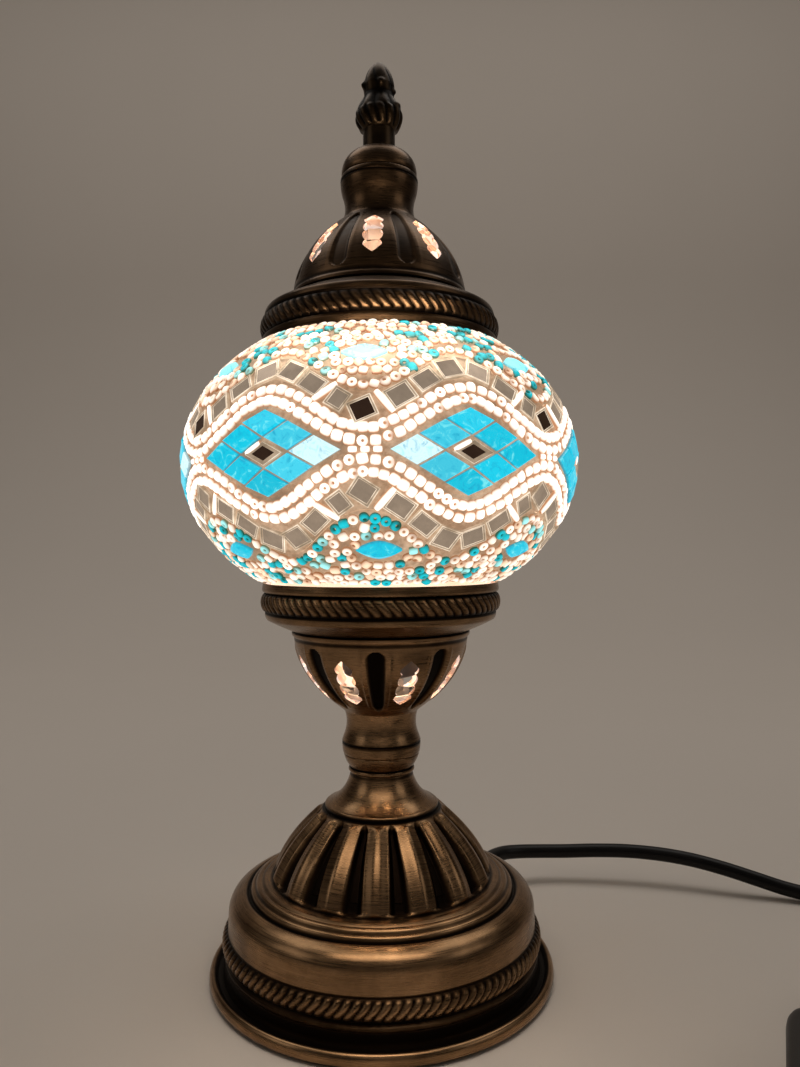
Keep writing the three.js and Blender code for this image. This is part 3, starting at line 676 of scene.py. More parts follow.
def window_plan():
    """A window's outline, pointed at both ends with three scallops a side, as [x, y]."""
    right = outline(
        (0, -9.6), ((1.6, -8.6), (3.2, -6.6)), ((3.3, -5.4), (2.3, -4.6)), ((3.6, -3.6), (3.4, -1.4)),
        ((3.2, -0.4), (2.6, 0.0)), ((3.6, 0.8), (3.4, 2.6)), ((3.0, 4.0), (2.3, 4.4)),
        ((3.5, 5.2), (3.2, 6.6)), ((1.4, 8.6), (0, 9.6)), step=0.6)
    return np.vstack([right, right[1:-1][::-1] * [-1, 1]])


def cut_windows(made, side, middle_z, first_turn):
    """Cuts a gallery's windows, square to its leaning side."""
    lean, middle_r = 27, 25.6
    points, faces = stacked([level(window_plan(), -6), level(window_plan(), 8)])
    facing_front = points[:, [0, 2, 1]] * [1, -1, 1]
    window = spun(facing_front, -side * lean, 0) + [0, -middle_r, middle_z]
    every = [spun(window, first_turn + 360 * i / WINDOWS) for i in range(WINDOWS)]
    every_face = [[len(points) * i + corner for corner in face] for i in range(WINDOWS) for face in faces]
    carve(made, np.vstack(every), every_face)


def make_gallery(name, node, body, side, rim_z, height, first_turn, bore, groove):
    """A gallery holds one end of the globe. side is -1 for the lower one and 1 for the upper one,
    which is darker with painted shade, and has shallower flutes."""
    scale = height / DRAWN_H
    floor_h, window_h = 41.5 * scale, 33.0 * scale
    rope_drop, rope_half = 6.7, 3.2
    # The upper gallery takes the bronze darkened as painted shade.
    metal, lip_rise, flute_depth, flute_dark = (SHADE_PAINTED_BRONZE, 0.08, 0.8, 0.4) if side > 0 else (
        ANTIQUE, 0.35, 1.3, 1.0)
    flute_half_turn, flute_middle, flute_half = 6.2, 32.25, 10.75
    outer = gallery_outline(scale, groove, 0.5)
    outer = np.vstack([[bore, outer[0][1]], outer])
    inner = gallery_outline(scale, groove, 0.8)
    inner = inner + outline_normals(inner) * WALL
    inner = np.vstack([[bore, floor_h], [14.5, floor_h], inner[inner[:, 1] < floor_h]])
    rows = closed_shell(outer, inner)
    is_outer = np.arange(len(rows)) < len(outer)
    drop = rows[:, 1] / scale
    from_middle = np.abs(np.where(is_outer | (rows[:, 0] > 13), drop, 0.0) - flute_middle)
    on_rope = (np.abs(drop - rope_drop) < rope_half) & is_outer
    dark = is_outer * recess(
        rows, (41.2, 3.5 * scale, 0.9, 1.0), (41.2, 10.0 * scale, 0.9, 1.0),
        (31.2, 16.9 * scale, 1.2, 0.9), (31.2, 19.6 * scale, 0.8, 0.6), (13.8, groove * scale, 0.8, 1.0))

    def relief(turns):
        band, band_hollow = rope(turns, drop - rope_drop, 76, side, rope_half, 1.75)
        off = off_nearest(turns, first_turn + 180 / WINDOWS, 360 / WINDOWS)
        round_end = np.clip((from_middle - (flute_half - 2.5)) / 2.5, 0, 1)
        width = flute_half_turn * np.sqrt(1 - round_end**2) + 1e-6
        sunk = (1 - smooth_step(off / width, 0.62, 1.12)) * (from_middle < flute_half)
        lip = (np.exp(-((off - 9.0) / 1.3) ** 2) * smooth_step(drop, 20, 24)
               * (1 - smooth_step(drop, 40, 43)))
        proud = np.where(on_rope, band, lip_rise * lip - flute_depth * sunk)
        hollow = np.where(on_rope, band_hollow, sunk * flute_dark * is_outer)
        return side * np.where(is_outer, -proud, proud), hollow

    rows[:, 1] = rim_z + side * rows[:, 1]
    # The inside rows take the brass with the bulb's light painted on as a glow.
    made = turned(name, rows, 608, [metal, GLOW_PAINTED_BRASS], node, body, "antique_bronze", relief, dark,
                  np.where(is_outer, 0, 1))
    cut_windows(made, side, rim_z + side * window_h, first_turn)
    sharpen(made)


def make_neck_bowl():
    low, high = BASE_TOP_Z + 0.3, LOWER_RIM_Z - LOWER_GALLERY_H - 0.02
    rows = outline(
        (STEM_HOLE_R, low), (11.5, low), ((12.1, low + 0.5), (11.7, low + 1.2)), (11.1, low + 1.5),
        ((12.7, low + 3.2), (13.5, high - 0.5)), ((13.5, high), (13.1, high)), (STEM_HOLE_R, high),
        step=0.35)
    turned("neck_bowl_turned", rows, 128, [ANTIQUE], "neck_bowl",
           dark=recess(rows, (11.1, low + 1.5, 0.7, 0.9)))


def make_collar():
    low = COLLAR_Z - 0.2
    rows = outline(
        (ROD_HOLE_R, low), (13.5, low), ((13.9, low + 0.9), (13.6, low + 2.2)),
        ((13.3, low + 5.4), (10.6, low + 7.6)), (10.1, low + 7.7), (9.9, low + 8.1),
        ((8.4, low + 9.0), (6.4, low + 9.1)), (ROD_HOLE_R, low + 9.1), step=0.35)
    dark = recess(rows, (10.1, low + 7.7, 0.5, 0.9), (13.4, low, 0.35, 0.8))
    # The collar takes the bronze darkened as painted shade.
    turned("collar_turned", rows, 128, [SHADE_PAINTED_BRONZE], "upper_collar", "cap", "antique_bronze", dark=dark)


def make_finial():
    """A cast finial: a plain shank, a cup of gadroons with leaves over it, and a bud with leaf tips."""
    low, bore_end, tip = COLLAR_Z + 9.2, 307.0, TIP_Z + 1.6
    rows = outline(
        (0, bore_end), (ROD_HOLE_R, bore_end), (ROD_HOLE_R, low), (5.9, low), (5.8, 301.2),
        ((6.9, 301.7), (7.9, 303.9)), ((8.7, 305.6), (8.3, 307.4)), ((7.7, 309.4), (6.7, 311.2)),
        ((5.7, 312.8), (5.3, 314.4)), ((5.5, 316.0), (5.7, 317.4)), ((5.5, 321.0), (3.5, 323.8)),
        ((1.8, tip - 0.3), (0, tip)), step=0.3)
    r, z = rows[:, 0], rows[:, 1]
    outside = (r > 4.4) | (z > 309)
    leaf_tips = [(-78.0, 318.0), (80.0, 315.4), (62.0, 308.9), (10.0, 317.0), (165.0, 316.6)]

    def relief(turns):
        cup = smooth_step(z, 301.3, 302.4) * (1 - smooth_step(z, 307.2, 308.6))
        rib = np.abs(np.sin(np.radians(turns * 7 + (z - 303) * 14)))
        leaf_swing = np.abs(np.sin(np.radians(turns * 4 + 40)))
        leaves = smooth_step(z, 307.4, 308.6 + leaf_swing * 1.2) * (1 - smooth_step(z, 311.4, 313.8))
        knobs = sum(np.exp(-(off_nearest(turns, turn, 360) / 13) ** 2 - ((z - height) / 1.1) ** 2)
                    for turn, height in leaf_tips)
        bud = smooth_step(z, 314.0, 316.0) * (1 - smooth_step(z, 321.0, 324.5))
        veins = np.abs(np.sin(np.radians(turns * 3 + (z - 315) * 9)))
        shift = (cup * (0.7 * rib - 0.4) + leaves * (0.5 * leaf_swing - 0.3) + 0.9 * knobs
                 + bud * (veins**0.6 - 0.9) * 0.3)
        hollow = (cup * (1 - rib) ** 2 * 1.3 + leaves * (1 - leaf_swing) + bud * (1 - veins) ** 3
                  + np.exp(-((z - 313.6) / 0.9) ** 2))
        return shift * outside, np.clip(hollow, 0, 1) * outside

    turned("finial_cast", rows, 192, [CAST], "finial", "finial", relief=relief)


# ---------------------------------------------------------------- inside the lamp


def make_felt():
    rows = outline((0, 0.05), (55.9, 0.05), ((56.4, 0.1), (56.4, 0.6)), ((56.4, 1.1), (55.9, 1.2)),
                   (0, 1.2), step=3)
    turned("felt_disc", rows, 160, [FELT], "felt_pad")


def make_lampholder():
    rows = outline(
        (STEM_HOLE_R, 104), (12.4, 104), ((13.2, 104), (13.5, 105.2)), (14.0, 106.6), (14.0, 118),
        (13.6, 118.4), (13.6, 119.2), (14.0, 119.6), (14.0, 148.8), ((14.0, 149.4), (13.4, 149.4)),
        (12.4, 149.4), (12.4, 112), (STEM_HOLE_R, 112), step=1.5)
    turned("lampholder_sleeve", rows, 96, [BLACK], "lampholder_shell")


def make_bulb():
    pitch, thread_depth = 2.8, 0.28
    rows = outline(
        (0, 119.8), (2.0, 119.8), ((2.5, 120.2), (2.6, 122.0)), ((4.6, 122.6), (6.4, 124.0)),
        (6.8, 126.0), (6.8, 147.0), ((6.6, 148.6), (6.9, 149.6)), (0, 149.6), step=0.25)
    r, z = rows[:, 0], rows[:, 1]
    on_thread = (r > 6) * smooth_step(z, 125.5, 127.0) * (1 - smooth_step(z, 144.5, 146.5))

    def relief(turns):
        return on_thread * thread_depth * np.sin(2 * np.pi * (z / pitch - turns / 360)), 0.0

    turned("bulb_screw_cap", rows, 64, [STEEL], "bulb_cap", "bulb", relief=relief)
    ball = outline((0, 150), (8.0, 150), ((10.0, 156), (16.0, 168.0)), ((22.6, 175.8), (22.4, 184)),
                   ((22.3, 193.2), (15.9, 199.9)), ((9.4, 206.4), (0, 206.5)), step=1.2)
    turned("bulb_glass", ball, 72, [OPAL], "bulb_envelope", "bulb")


def make_rod():
    """The threaded rod that the cap and finial slide down over."""
    low, high = low_mm("top_rod", 2), high_mm("top_rod", 2)
    pitch, thread_depth = 1.0, 0.42
    rows = outline((0, low), (3.4, low), (3.98, low + 0.6), (3.98, high - 0.6), (3.4, high), (0, high),
                   step=0.2)
    r, z = rows[:, 0], rows[:, 1]
    on_thread = ((r > 3.9) * smooth_step(z, low + 0.6, low + 1.6)
                 * (1 - smooth_step(z, high - 1.6, high - 0.6)))

    def relief(turns):
        ridge = np.abs(2 * ((z / pitch - turns / 360) % 1.0) - 1)
        return -on_thread * thread_depth * ridge, on_thread * ridge

    turned("threaded_rod", rows, 40, [STEEL], "top_rod", relief=relief)


def smooth_route(points, spacing=1.6):
    """A centripetal Catmull-Rom curve through the points."""
    points = np.asarray(points, float)
    ends = np.vstack([2 * points[0] - points[1], points, 2 * points[-1] - points[-2]])
    made = []
    for a, b, c, d in zip(ends, ends[1:], ends[2:], ends[3:]):
        before, here, after = (np.linalg.norm(way) ** 0.5 for way in (b - a, c - b, d - c))
        leave = c - b + here * ((b - a) / before - (c - a) / (before + here))
        arrive = c - b + here * ((d - c) / after - (d - b) / (here + after))
        count = max(2, round(np.linalg.norm(c - b) / spacing))
        t = np.linspace(0, 1, count, endpoint=False)[:, None]
        made.append(b + t * leave + t**2 * (3 * (c - b) - 2 * leave - arrive)
                    + t**3 * (leave + arrive - 2 * (c - b)))
    return np.vstack([*made, points[-1:]])


def add_wire(batch, points, radius, sides=10):
    """A round wire along a smooth route in the plane of x and z, with closed ends."""
    line = smooth_route(points)
    way = np.gradient(line, axis=0)
    way /= np.linalg.norm(way, axis=1, keepdims=True)
    side = np.array([0.0, 1.0, 0.0])
    up = np.cross(way, side)
    angles = np.radians(np.arange(sides) * 360 / sides)
    rings = [at + radius * (np.outer(np.cos(angles), side) + np.outer(np.sin(angles), rise))
             for at, rise in zip(line, up)]
    batch.add(*stacked(rings), STEEL)


def add_ring(batch, inner, outer, low, high):
    """A flat ring with eased edges."""
    ease, steps = 0.3, 64
    rows = np.array([(inner, low), (outer - ease, low), (outer, low + ease), (outer, high - ease),
                     (outer - ease, high), (inner, high)])
    grid, _ = swept(rows, steps)
    batch.add(grid.reshape(-1, 3), grid_faces(steps, len(rows), True), STEEL, smooth=False)


def make_harp():
    """The wire frame that joins the lampholder's foot to the rod over the bulb."""
    leg = [(10, 97.6), (16, 99.0), (20.5, 106), (24.5, 118), (27.5, 132), (28.2, 150), (28.2, 180),
           (28.2, 212), (26, 228), (19, 243), (11, 252.5), (6.5, 256)]
    batch = Batch([STEEL])
    add_ring(batch, STEM_HOLE_R, 12.5, 96.1, 97.9)
    add_ring(batch, ROD_HOLE_R, 7.5, 254.0, 259.0)
    for side in (1, -1):
        add_wire(batch, [(side * r, 0, z) for r, z in leg], 1.5)
    batch.make("harp_frame", "harp", "stand", "zinc_steel")


def make_globe_glass():
    """The blown globe that the mosaic is set on, with its two short necks."""
    low, high = low_mm("globe_glass", 2), high_mm("globe_glass", 2)
    glass_half_h = GLOBE_HALF_H - (GLOBE_R - GLASS_R)
    end = math.acos(GLASS_NECK_R / GLASS_R)
    angles = np.linspace(-end, end, 49)

    def meridian(inset):
        return np.column_stack([(GLASS_R - inset) * np.cos(angles),
                                GLOBE_Z + (glass_half_h - inset) * np.sin(angles)])

    inner = meridian(GLASS_T)[::-1]
    bore = inner[0][0]
    ease = 0.6
    rows = np.vstack([[bore, low], [GLASS_NECK_R - ease, low], [GLASS_NECK_R, low + ease], meridian(0),
                      [GLASS_NECK_R, high - ease], [GLASS_NECK_R - ease, high], [bore, high], inner])
    turned("globe_blown_glass", rows, 128, [GLOBE_GLASS], "globe_glass", "globe")


def finish_hidden_parts():
    """Gives the CAD nodes whose shape stays their own materials."""
    finishes = {
        STEEL: ["stem_tube", "stem_nut_lower", "stem_washer_lower", "stem_nut_upper", "rod_nut",
                "switch_screw_1", "switch_screw_2"],
        BRASS: ["lampholder_insert", "lampholder_contact", "switch_contacts"],
        BOARD: ["bottom_disc"],
        IRON: ["base_weight"],
        CERAMIC: ["lampholder_core"],
        SHEATH: ["inner_lead"],
        BLACK: ["cord_tie"],
    }
    for material, nodes in finishes.items():
        for node in nodes:
            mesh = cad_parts[node].data
            mesh.materials.clear()
            mesh.materials.append(material)


# ---------------------------------------------------------------- things on the cord


def lathe_along(name, rows, origin, heading, material, node):
    """A turned piece that lies level. rows is [r, distance], and heading is from +X."""
    grid, _ = swept(np.array(rows, float), 48)
    points = spun(grid.reshape(-1, 3)[:, [2, 0, 1]], heading) + origin
    return sharpen(piece(name, points, grid_faces(48, len(rows), False), [material], node))


def relief_sleeve(start, end, start_r, end_r, ribs):
    """The outline of a tapered sleeve with soft ribs, from its wide end down to the cord."""
    rows = []
    for z in np.arange(start, end - 0.8, 0.35):
        part = (z - start) / (end - start)
        groove = 0.5 - 0.5 * math.cos(2 * math.pi * part * ribs)
        rows.append((start_r + (end_r - start_r) * part - 0.45 * groove, z))
    return rows + [(end_r - 0.15, end - 0.35), (end_r - 0.5, end), (0, end)]


def make_cord_relief():
    """The grommet in the base's wall and its tapered sleeve."""
    grommet = [(0, 50.6), (6.3, 50.6), (6.6, 50.9), (6.6, 52.0), (6.3, 52.3), (4.8, 52.3), (4.8, 56.2),
               (6.5, 56.2), (6.8, 56.6), (6.8, 57.5), (6.4, 58.0)]
    rows = grommet + relief_sleeve(58.4, RELIEF_END_R, 5.4, 3.9, 6)
    return lathe_along("cord_sleeve", rows, (0, 0, EXIT_Z), EXIT_TURN, BLACK, "cord_relief")


def in_switch(points):
    """From the switch's own frame, whose long way is y, to the lamp's."""
    return spun(points, SWITCH_TURN) + SWITCH_AT


def switch_plan():
    """The housing's plan, narrowed at both ends."""
    x, y = SWITCH_HALF
    shoulder, end = y - 12, x * 0.5
    return outline(
        (-end, -y), (end, -y), ((x, -y), (x, -shoulder)), (x, shoulder), ((x, y), (end, y)),
        (-end, y), ((-x, y), (-x, shoulder)), (-x, -shoulder), ((-x, -y), (-end, -y)), step=1.2)[:-1]


def make_switch():
    """The housing's two halves, with screw recesses in the lower one, and the rocker's raised rim."""
    lower_rings = [(1.4, 0.3), (0.5, 0.55), (0.0, 1.3), (0.0, 8.5), (0.25, 8.8)]
    upper_rings = [(0.25, 9.1), (0.0, 9.4), (0.0, 13.4), (0.2, 14.6), (0.8, 15.6), (1.6, 16.15),
                   (2.8, SWITCH_TOP_Z)]
    opening = np.array([6.6, 11.6])
    opening_plan = corners(-opening, opening)
    turns = np.radians(np.arange(0, 360, 15))
    recess_plan = 2.8 * np.column_stack([np.cos(turns), np.sin(turns)])
    halves = []
    for half, rings in (("lower", lower_rings), ("upper", upper_rings)):
        points, faces = stacked([level(switch_plan() * (1 - margin / SWITCH_HALF), z)
                                 for margin, z in rings])
        made = piece(f"switch_{half}_half", in_switch(points), faces, [BLACK], f"switch_{half}_shell")
        cuts = [(opening_plan, 6.0, 20.0)]
        if half == "lower":
            cuts += [(recess_plan + middle, -1.0, 2.0) for middle in ((8.4, 15), (-8.4, -15))]
        for plan, low, high in cuts:
            points, faces = stacked([level(plan, low), level(plan, high)])
            carve(made, in_switch(points), faces, "EXACT")
        halves.append(sharpen(made, 42))
    width, top = 1.1, SWITCH_TOP_Z + 0.55
    outer = corners(-opening - width, opening + width)
    points = np.vstack([level(opening_plan, 15.8), level(outer, 15.8), level(outer, top - 0.2),
                        level(outer * [0.97, 0.985], top), level(opening_plan, top)])
    rim = piece("switch_rocker_frame", in_switch(points), grid_faces(5, 4, True), [BLACK], smooth=False)
    return [*halves, rim]


def make_switch_sleeve(end, heading):
    """The sleeve at one end of the switch, with its foot inside the housing."""
    start = SWITCH_HALF[1] + 0.3
    foot = [(0, start - 4), (3.3, start - 4), (3.3, start)]
    rows = foot + relief_sleeve(start, SWITCH_RELIEF_END, 5.2, 3.7, 4)
    return lathe_along(f"switch_sleeve_{end}", rows, (*SWITCH_AT[:2], SWITCH_CORD_Z),
                       SWITCH_TURN + heading, BLACK, f"switch_relief_{end}")


def make_rocker():
    """The rocker lies tipped towards the lamp's end, which is on."""
    tilt, pivot_z = 9, 12.6
    side = outline((-10.4, -1.0), (0, -2.6), (10.4, -1.0), (10.4, 5.2), ((0, 2.6), (-10.4, 5.2)),
                   step=1.0)[:-1]
    rings = []
    for x, margin in ((-6.2, 0.5), (-5.9, 0.12), (-5.5, 0.0), (5.5, 0.0), (5.9, 0.12), (6.2, 0.5)):
        drawn = side * (1 - margin / np.array([10.4, 5.0]))
        rings.append(spun(level(drawn, x)[:, [2, 0, 1]], tilt, 0) + [0, 0, pivot_z])
    points, faces = stacked(rings)
    sharpen(piece("rocker_button", in_switch(points), faces, [BLACK], "switch_rocker", "rocker"), 35)


def make_plug():
    """A moulded two-pin plug: its waist is grooved for the fingers."""
    groove_depth, groove_pitch = 0.55, 3.2
    right = outline((17.4, 18), (17.4, 6), ((15, -12), (7, -18)), step=0.6)
    along = right[:, 1] + 11
    grip = (along > 0) & (along < 16)
    right[:, 0] -= grip * groove_depth * (1 - np.cos(2 * np.pi * along / groove_pitch)) / 2
    plan = np.vstack([right, right[::-1] * [-1, 1]])
    rings = [(2.6, -6.9), (1.1, -6.5), (0.3, -5.6), (0.0, -4.4), (0.0, 4.4), (0.3, 5.6), (1.1, 6.5),
             (2.6, 6.9)]
    points, faces = stacked([level(plan * (1 - margin / np.array([17.4, 18.0])), z)
                             for margin, z in rings])
    made = [sharpen(piece("plug_grip", points + PLUG_AT, faces, [BLACK], "plug_body"), 45)]
    sleeve = [(0, 17.0)] + relief_sleeve(17.4, 41, 6.0, 4.0, 7)
    made.append(lathe_along("plug_sleeve", sleeve, PLUG_AT, -90, BLACK, "plug_relief"))
    pin = outline((0, 18.3), (1.9, 18.3), (1.9, 28.2), (2.0, 28.4), (2.0, 35.6),
                  ((2.0, 37.3), (0, 37.3)), step=0.8)
    for hand, x in (("left", -9.3), ("right", 9.3)):
        made.append(lathe_along(f"plug_contact_{hand}", pin, np.add(PLUG_AT, (x, 0, 0)), 90, BRASS,
                                f"plug_pin_{hand}"))
    return made


# ---------------------------------------------------------------- cords


def coil_points():
    """Turns laid three beside each other on the floor, then three on top, from the outside in and
    back out. All the turns shift over together in the quarter turn after the cord comes in."""
    row_z = (4.1, 10.1)
    places = [(45, 0), (39, 0), (33, 0), (27, 0), (27, 1), (33, 1), (39, 1), (45, 1)]
    turns, per_turn, climb_inset = 6.25, 24, 2.3
    points = []
    for step in range(1, int(turns * per_turn)):
        lap, part = divmod(step / per_turn, 1.0)
        shift = smooth_step(part, 0.0, 0.25)
        (r_from, row_from), (r_to, row_to) = places[int(lap)], places[int(lap) + 1]
        r = r_from + (r_to - r_from) * shift
        z = row_z[row_from] + (row_z[row_to] - row_z[row_from]) * shift
        if row_from != row_to:
            r -= climb_inset * math.sin(math.pi * shift)
        points.append(spun((r, 0, z), 360 * step / per_turn - 90) + COIL_AT)
    return points


def lamp_route():
    return [
        *spun([(RELIEF_END_R + 0.3, 0, EXIT_Z), (80.5, 0, EXIT_Z)], EXIT_TURN), (52.8, 70.4, 13.1),
        (60, 73.6, 12.5), (69.5, 75, 12.1), (80, 75, 12.1), (94, 74, 12.7), (108, 72, 13.1),
        (121.5, 69, 12.8), (134, 64.8, 11.9), (146.5, 60, 9.9), (158.5, 55.4, 7.2), (169, 52, 4.6),
        (178, 48.5, 3.3), (188, 42.5, 3.1), (196, 33, 3.1), (199.5, 21, 3.1), (198, 8, 3.1),
        (191.5, -4, 3.1), (181, -12.5, 3.1), (168.5, -18, 3.1), (157, -23, 3.6), (148.5, -30, 5.4),
        *in_switch([(0, 57, 7.8), (0, 50, 8.7), (0, SWITCH_RELIEF_END + 0.3, SWITCH_CORD_Z)]),
    ]


def mains_route():
    return [
        *in_switch([(0, -SWITCH_RELIEF_END - 0.3, SWITCH_CORD_Z), (0, -50, 8.6)]), (96.2, -143, 6.2),
        (100.2, -156.2, 4.4), (109.5, -166.0, 4.0), (122, -169.8, 4.0), (138, -170.2, 4.0),
        (153, -170.1, 4.0), (167.5, -170.0, 4.1), *coil_points(), (212.5, -125, 10.0),
        (212.6, -117, 9.3), (212.6, -109, 8.1), (212.6, -102, 7.5), (212.6, -96.5, PLUG_AT[2]),
    ]


def make_cord(name, route, nodes, with_pieces):
    """A round sheathed cord along a smooth route. with_pieces is not used."""
    line = smooth_route(route)
    curve = bpy.data.curves.new(name, "CURVE")
    curve.dimensions = "3D"
    curve.bevel_depth = CORD_R * MM
    curve.bevel_resolution = 4
    curve.use_fill_caps = True
    spline = curve.splines.new("POLY")
    spline.points.add(len(line) - 1)
    spline.points.foreach_set("co", np.column_stack([line * MM, np.ones(len(line))]).ravel())
    curve.materials.append(SHEATH)
    made = bpy.data.objects.new(name, curve)
    bpy.context.scene.collection.objects.link(made)
    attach(made, "stand")
    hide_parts(*nodes)


# ---------------------------------------------------------------- mosaic

WHITE_TINT = (1.9, 1.72, 1.52)
PEACH_TINT = (1.2, 0.86, 0.60)
CREAM_TINT = (1.45, 1.25, 1.05)
TEAL_TINT = (0.0, 0.58, 0.68)
PALE_TEAL_TINT = (0.42, 1.0, 1.0)
TILE_TINT = (0.0, 0.56, 0.76)
PALE_TILE_TINT = (0.95, 1.15, 1.15)
STONE_TINT = (0.35, 1.0, 1.1)


def level_line(side, offset):
    """A line round the globe, offset from a bead wave. side is 1 for the upper wave, -1 for the lower."""
    swing = (WAVE_CREST - WAVE_TROUGH) / 2

    def height(turn):
        wave = WAVE_TROUGH + swing * (1 + np.cos(np.radians((turn - PATTERN_TURN) * REPEATS)))
        return PATTERN_MID_Z + side * (wave + offset)

    return height


def globe_reach(z):
    """The mosaic's distance from the lamp's axis at a height."""
    return GLOBE_R * math.sqrt(1 - ((z - GLOBE_Z) / GLOBE_HALF_H) ** 2)


def globe_spot(turn, z, depth=0.0):
    """Points of the globe at a depth under the mosaic's face, with the ways east, up and out there."""
    turn, z = np.radians(np.atleast_1d(turn)), np.atleast_1d(z)
    sine = (z - GLOBE_Z) / GLOBE_HALF_H
    cosine = np.sqrt(1 - sine**2)
    round_way = np.stack([np.sin(turn), -np.cos(turn), 0 * turn], 1)
    east = np.stack([np.cos(turn), np.sin(turn), 0 * turn], 1)
    axis = np.array([0.0, 0.0, 1.0])
    out = round_way * (cosine / GLOBE_R)[:, None] + axis * (sine / GLOBE_HALF_H)[:, None]
    out /= np.linalg.norm(out, axis=1, keepdims=True)
    point = (round_way * ((GLOBE_R - depth) * cosine)[:, None]
             + axis * (GLOBE_Z + (GLOBE_HALF_H - depth) * sine)[:, None])
    return point, east, np.cross(out, east), out


def on_globe(points, turn, z, depth=0.0, spin=0.0):
    """Sets local points (x east, y up, z out) on the globe, turned by spin about the way out."""
    at, *ways = (part[0] for part in globe_spot(turn, z, depth))
    return at + spun(points, spin) @ np.array(ways)


def beside(turn, z, slope, offset):
    """A place at an offset to the left of a line that runs at a slope."""
    _, _, up, _ = globe_spot(turn, z)
    angle = math.radians(slope)
    east = math.degrees(offset * math.sin(angle) / globe_reach(z))
    return turn - east, z + offset * math.cos(angle) * up[0][2]


class GlobeLine:
    """A closed line round the globe that can be measured along."""

    def __init__(self, height_at):
        self.turns = np.linspace(0, 360, 2881)
        self.z = height_at(self.turns)
        points, east, up, _ = globe_spot(self.turns, self.z)
        self.length = lengths_along(points)
        way = np.gradient(points, axis=0)
        self.slopes = np.degrees(np.arctan2((way * up).sum(1), (way * east).sum(1)))

    def place(self, distance):
        """Turn, height and slope at a distance along the line."""
        distance = distance % self.length[-1]
        return [np.interp(distance, self.length, data) for data in (self.turns, self.z, self.slopes)]

    def distance(self, turn):
        return float(np.interp(turn % 360, self.turns, self.length))

    def evenly(self, spacing):
        count = round(self.length[-1] / spacing)
        return [self.place(self.length[-1] * i / count) for i in range(count)]


def add_grout(batch, low_edge, high_edge, columns, rows, first=0.0, last=360.0):
    """A closed layer of grout between two lines, round the whole globe or over part of it."""
    whole = last - first == 360
    turns = np.linspace(first, last, columns + 1)[:columns if whole else None]
    low, high = low_edge(turns), high_edge(turns)
    rise = np.linspace(0, 1, rows + 1)
    sheets = [globe_spot(turns, low + (high - low) * t, depth)[0]
              for depth, steps in ((GROUT_DEPTH, rise), (MOSAIC_T, rise[::-1])) for t in steps]
    loops = np.stack(sheets, 1)
    if whole:
        faces = grid_faces(len(turns), len(sheets), True)
        batch.add(loops.reshape(-1, 3), faces, GROUT, lift=0.0)
    else:
        batch.add(*stacked(loops), GROUT, lift=0.0)


def ring_bead(radius, length, hole, steps=14, rows=10):
    """A glass bead bored along its own z."""
    turns = np.radians(np.arange(steps) * 360 / steps)[:, None]
    rounds = np.radians(np.arange(rows) * 360 / rows)[None, :]
    c, s = np.cos(rounds), np.sin(rounds)
    r = (radius + hole) / 2 + (radius - hole) / 2 * np.sign(c) * np.abs(c) ** 0.75
    z = length / 2 * np.sign(s) * np.abs(s) ** 0.75
    points = np.stack([r * np.cos(turns), r * np.sin(turns), z + 0 * turns], -1).reshape(-1, 3)
    return points, grid_faces(steps, rows, True)


def set_bead(batch, turn, z, spin, radius, length, hole, tip, tint=WHITE_TINT, crown=0.25):
    """Presses a bead into the grout until its crown stands just over the mosaic's face. A tip of 90
    degrees lays its bore along the globe."""
    points, faces = ring_bead(radius, length, hole)
    points = spun(points, tip, 1) * [1, 1, 0.78]
    top = points[:, 2].max()
    lift = np.clip(points[:, 2] / top, 0, 1)
    batch.add(on_globe(points, turn, z, top - crown, spin), faces, BEAD, tint, lift)


def make_bead_wave(level_name, side):
    """Two rows of beads laid nose to tail, with a ring bead here and there showing its hole."""
    batch = Batch([BEAD, GROUT])
    half = WAVE_W / 2
    edges = sorted([-half - 0.7, half + 0.2], reverse=side < 0)
    add_grout(batch, *(level_line(side, edge) for edge in edges), 288, 3)
    middle = GlobeLine(level_line(side, 0.0))
    for offset in (-side * 2.15, side * 1.7):
        for turn, z, slope in middle.evenly(3.3):
            turn, z = beside(turn, z, slope, offset + chance.uniform(-0.2, 0.2))
            size = chance.uniform(0.93, 1.08)
            kind = chance.random()
            if kind < 0.16:
                shape = (0, 1.72 * size, 2.2, 0.34, chance.uniform(-28, 28))
            else:
                spin = slope + chance.uniform(-10, 10) + (90 if kind > 0.93 else 0)
                shape = (spin, 1.8 * size, 3.1 * size, 0.42, 90)
            set_bead(batch, turn, z, *shape, shade(WHITE_TINT, chance.uniform(0.92, 1.08)))
    batch.make(f"{level_name}_wave_beads", f"{level_name}_bead_wave", "globe", "seed_bead")


def framed_tile(batch, turn, z, spin, width, height, middle=MIRROR, face_tilt=0.0):
    """A cut mirror tile: bright ground edge, clear bevel, bright inner line and silvered middle."""
    insets = [(0.0, -MOSAIC_T), (0.0, -0.25), (0.1, -0.12), (0.3, -0.10), (0.75, -0.28), (0.86, -0.28),
              (0.94, -0.33)]
    edge, bevel = BRIGHT_EDGE, CLEAR_BEVEL
    rings = []
    for inset, lift in insets:
        half = np.array([width / 2 - inset, height / 2 - inset * min(1.0, height / width)])
        ring = level(corners(-half, half), lift)
        ring[:, 2] += ring[:, 0] * face_tilt
        rings.append(ring)
    points, faces = stacked(rings)
    sides = [kind for kind in (bevel, edge, edge, bevel, edge, edge) for _ in range(4)]
    batch.add(on_globe(points, turn, z, 0.0, spin), faces, [*sides, middle, bevel], smooth=False)


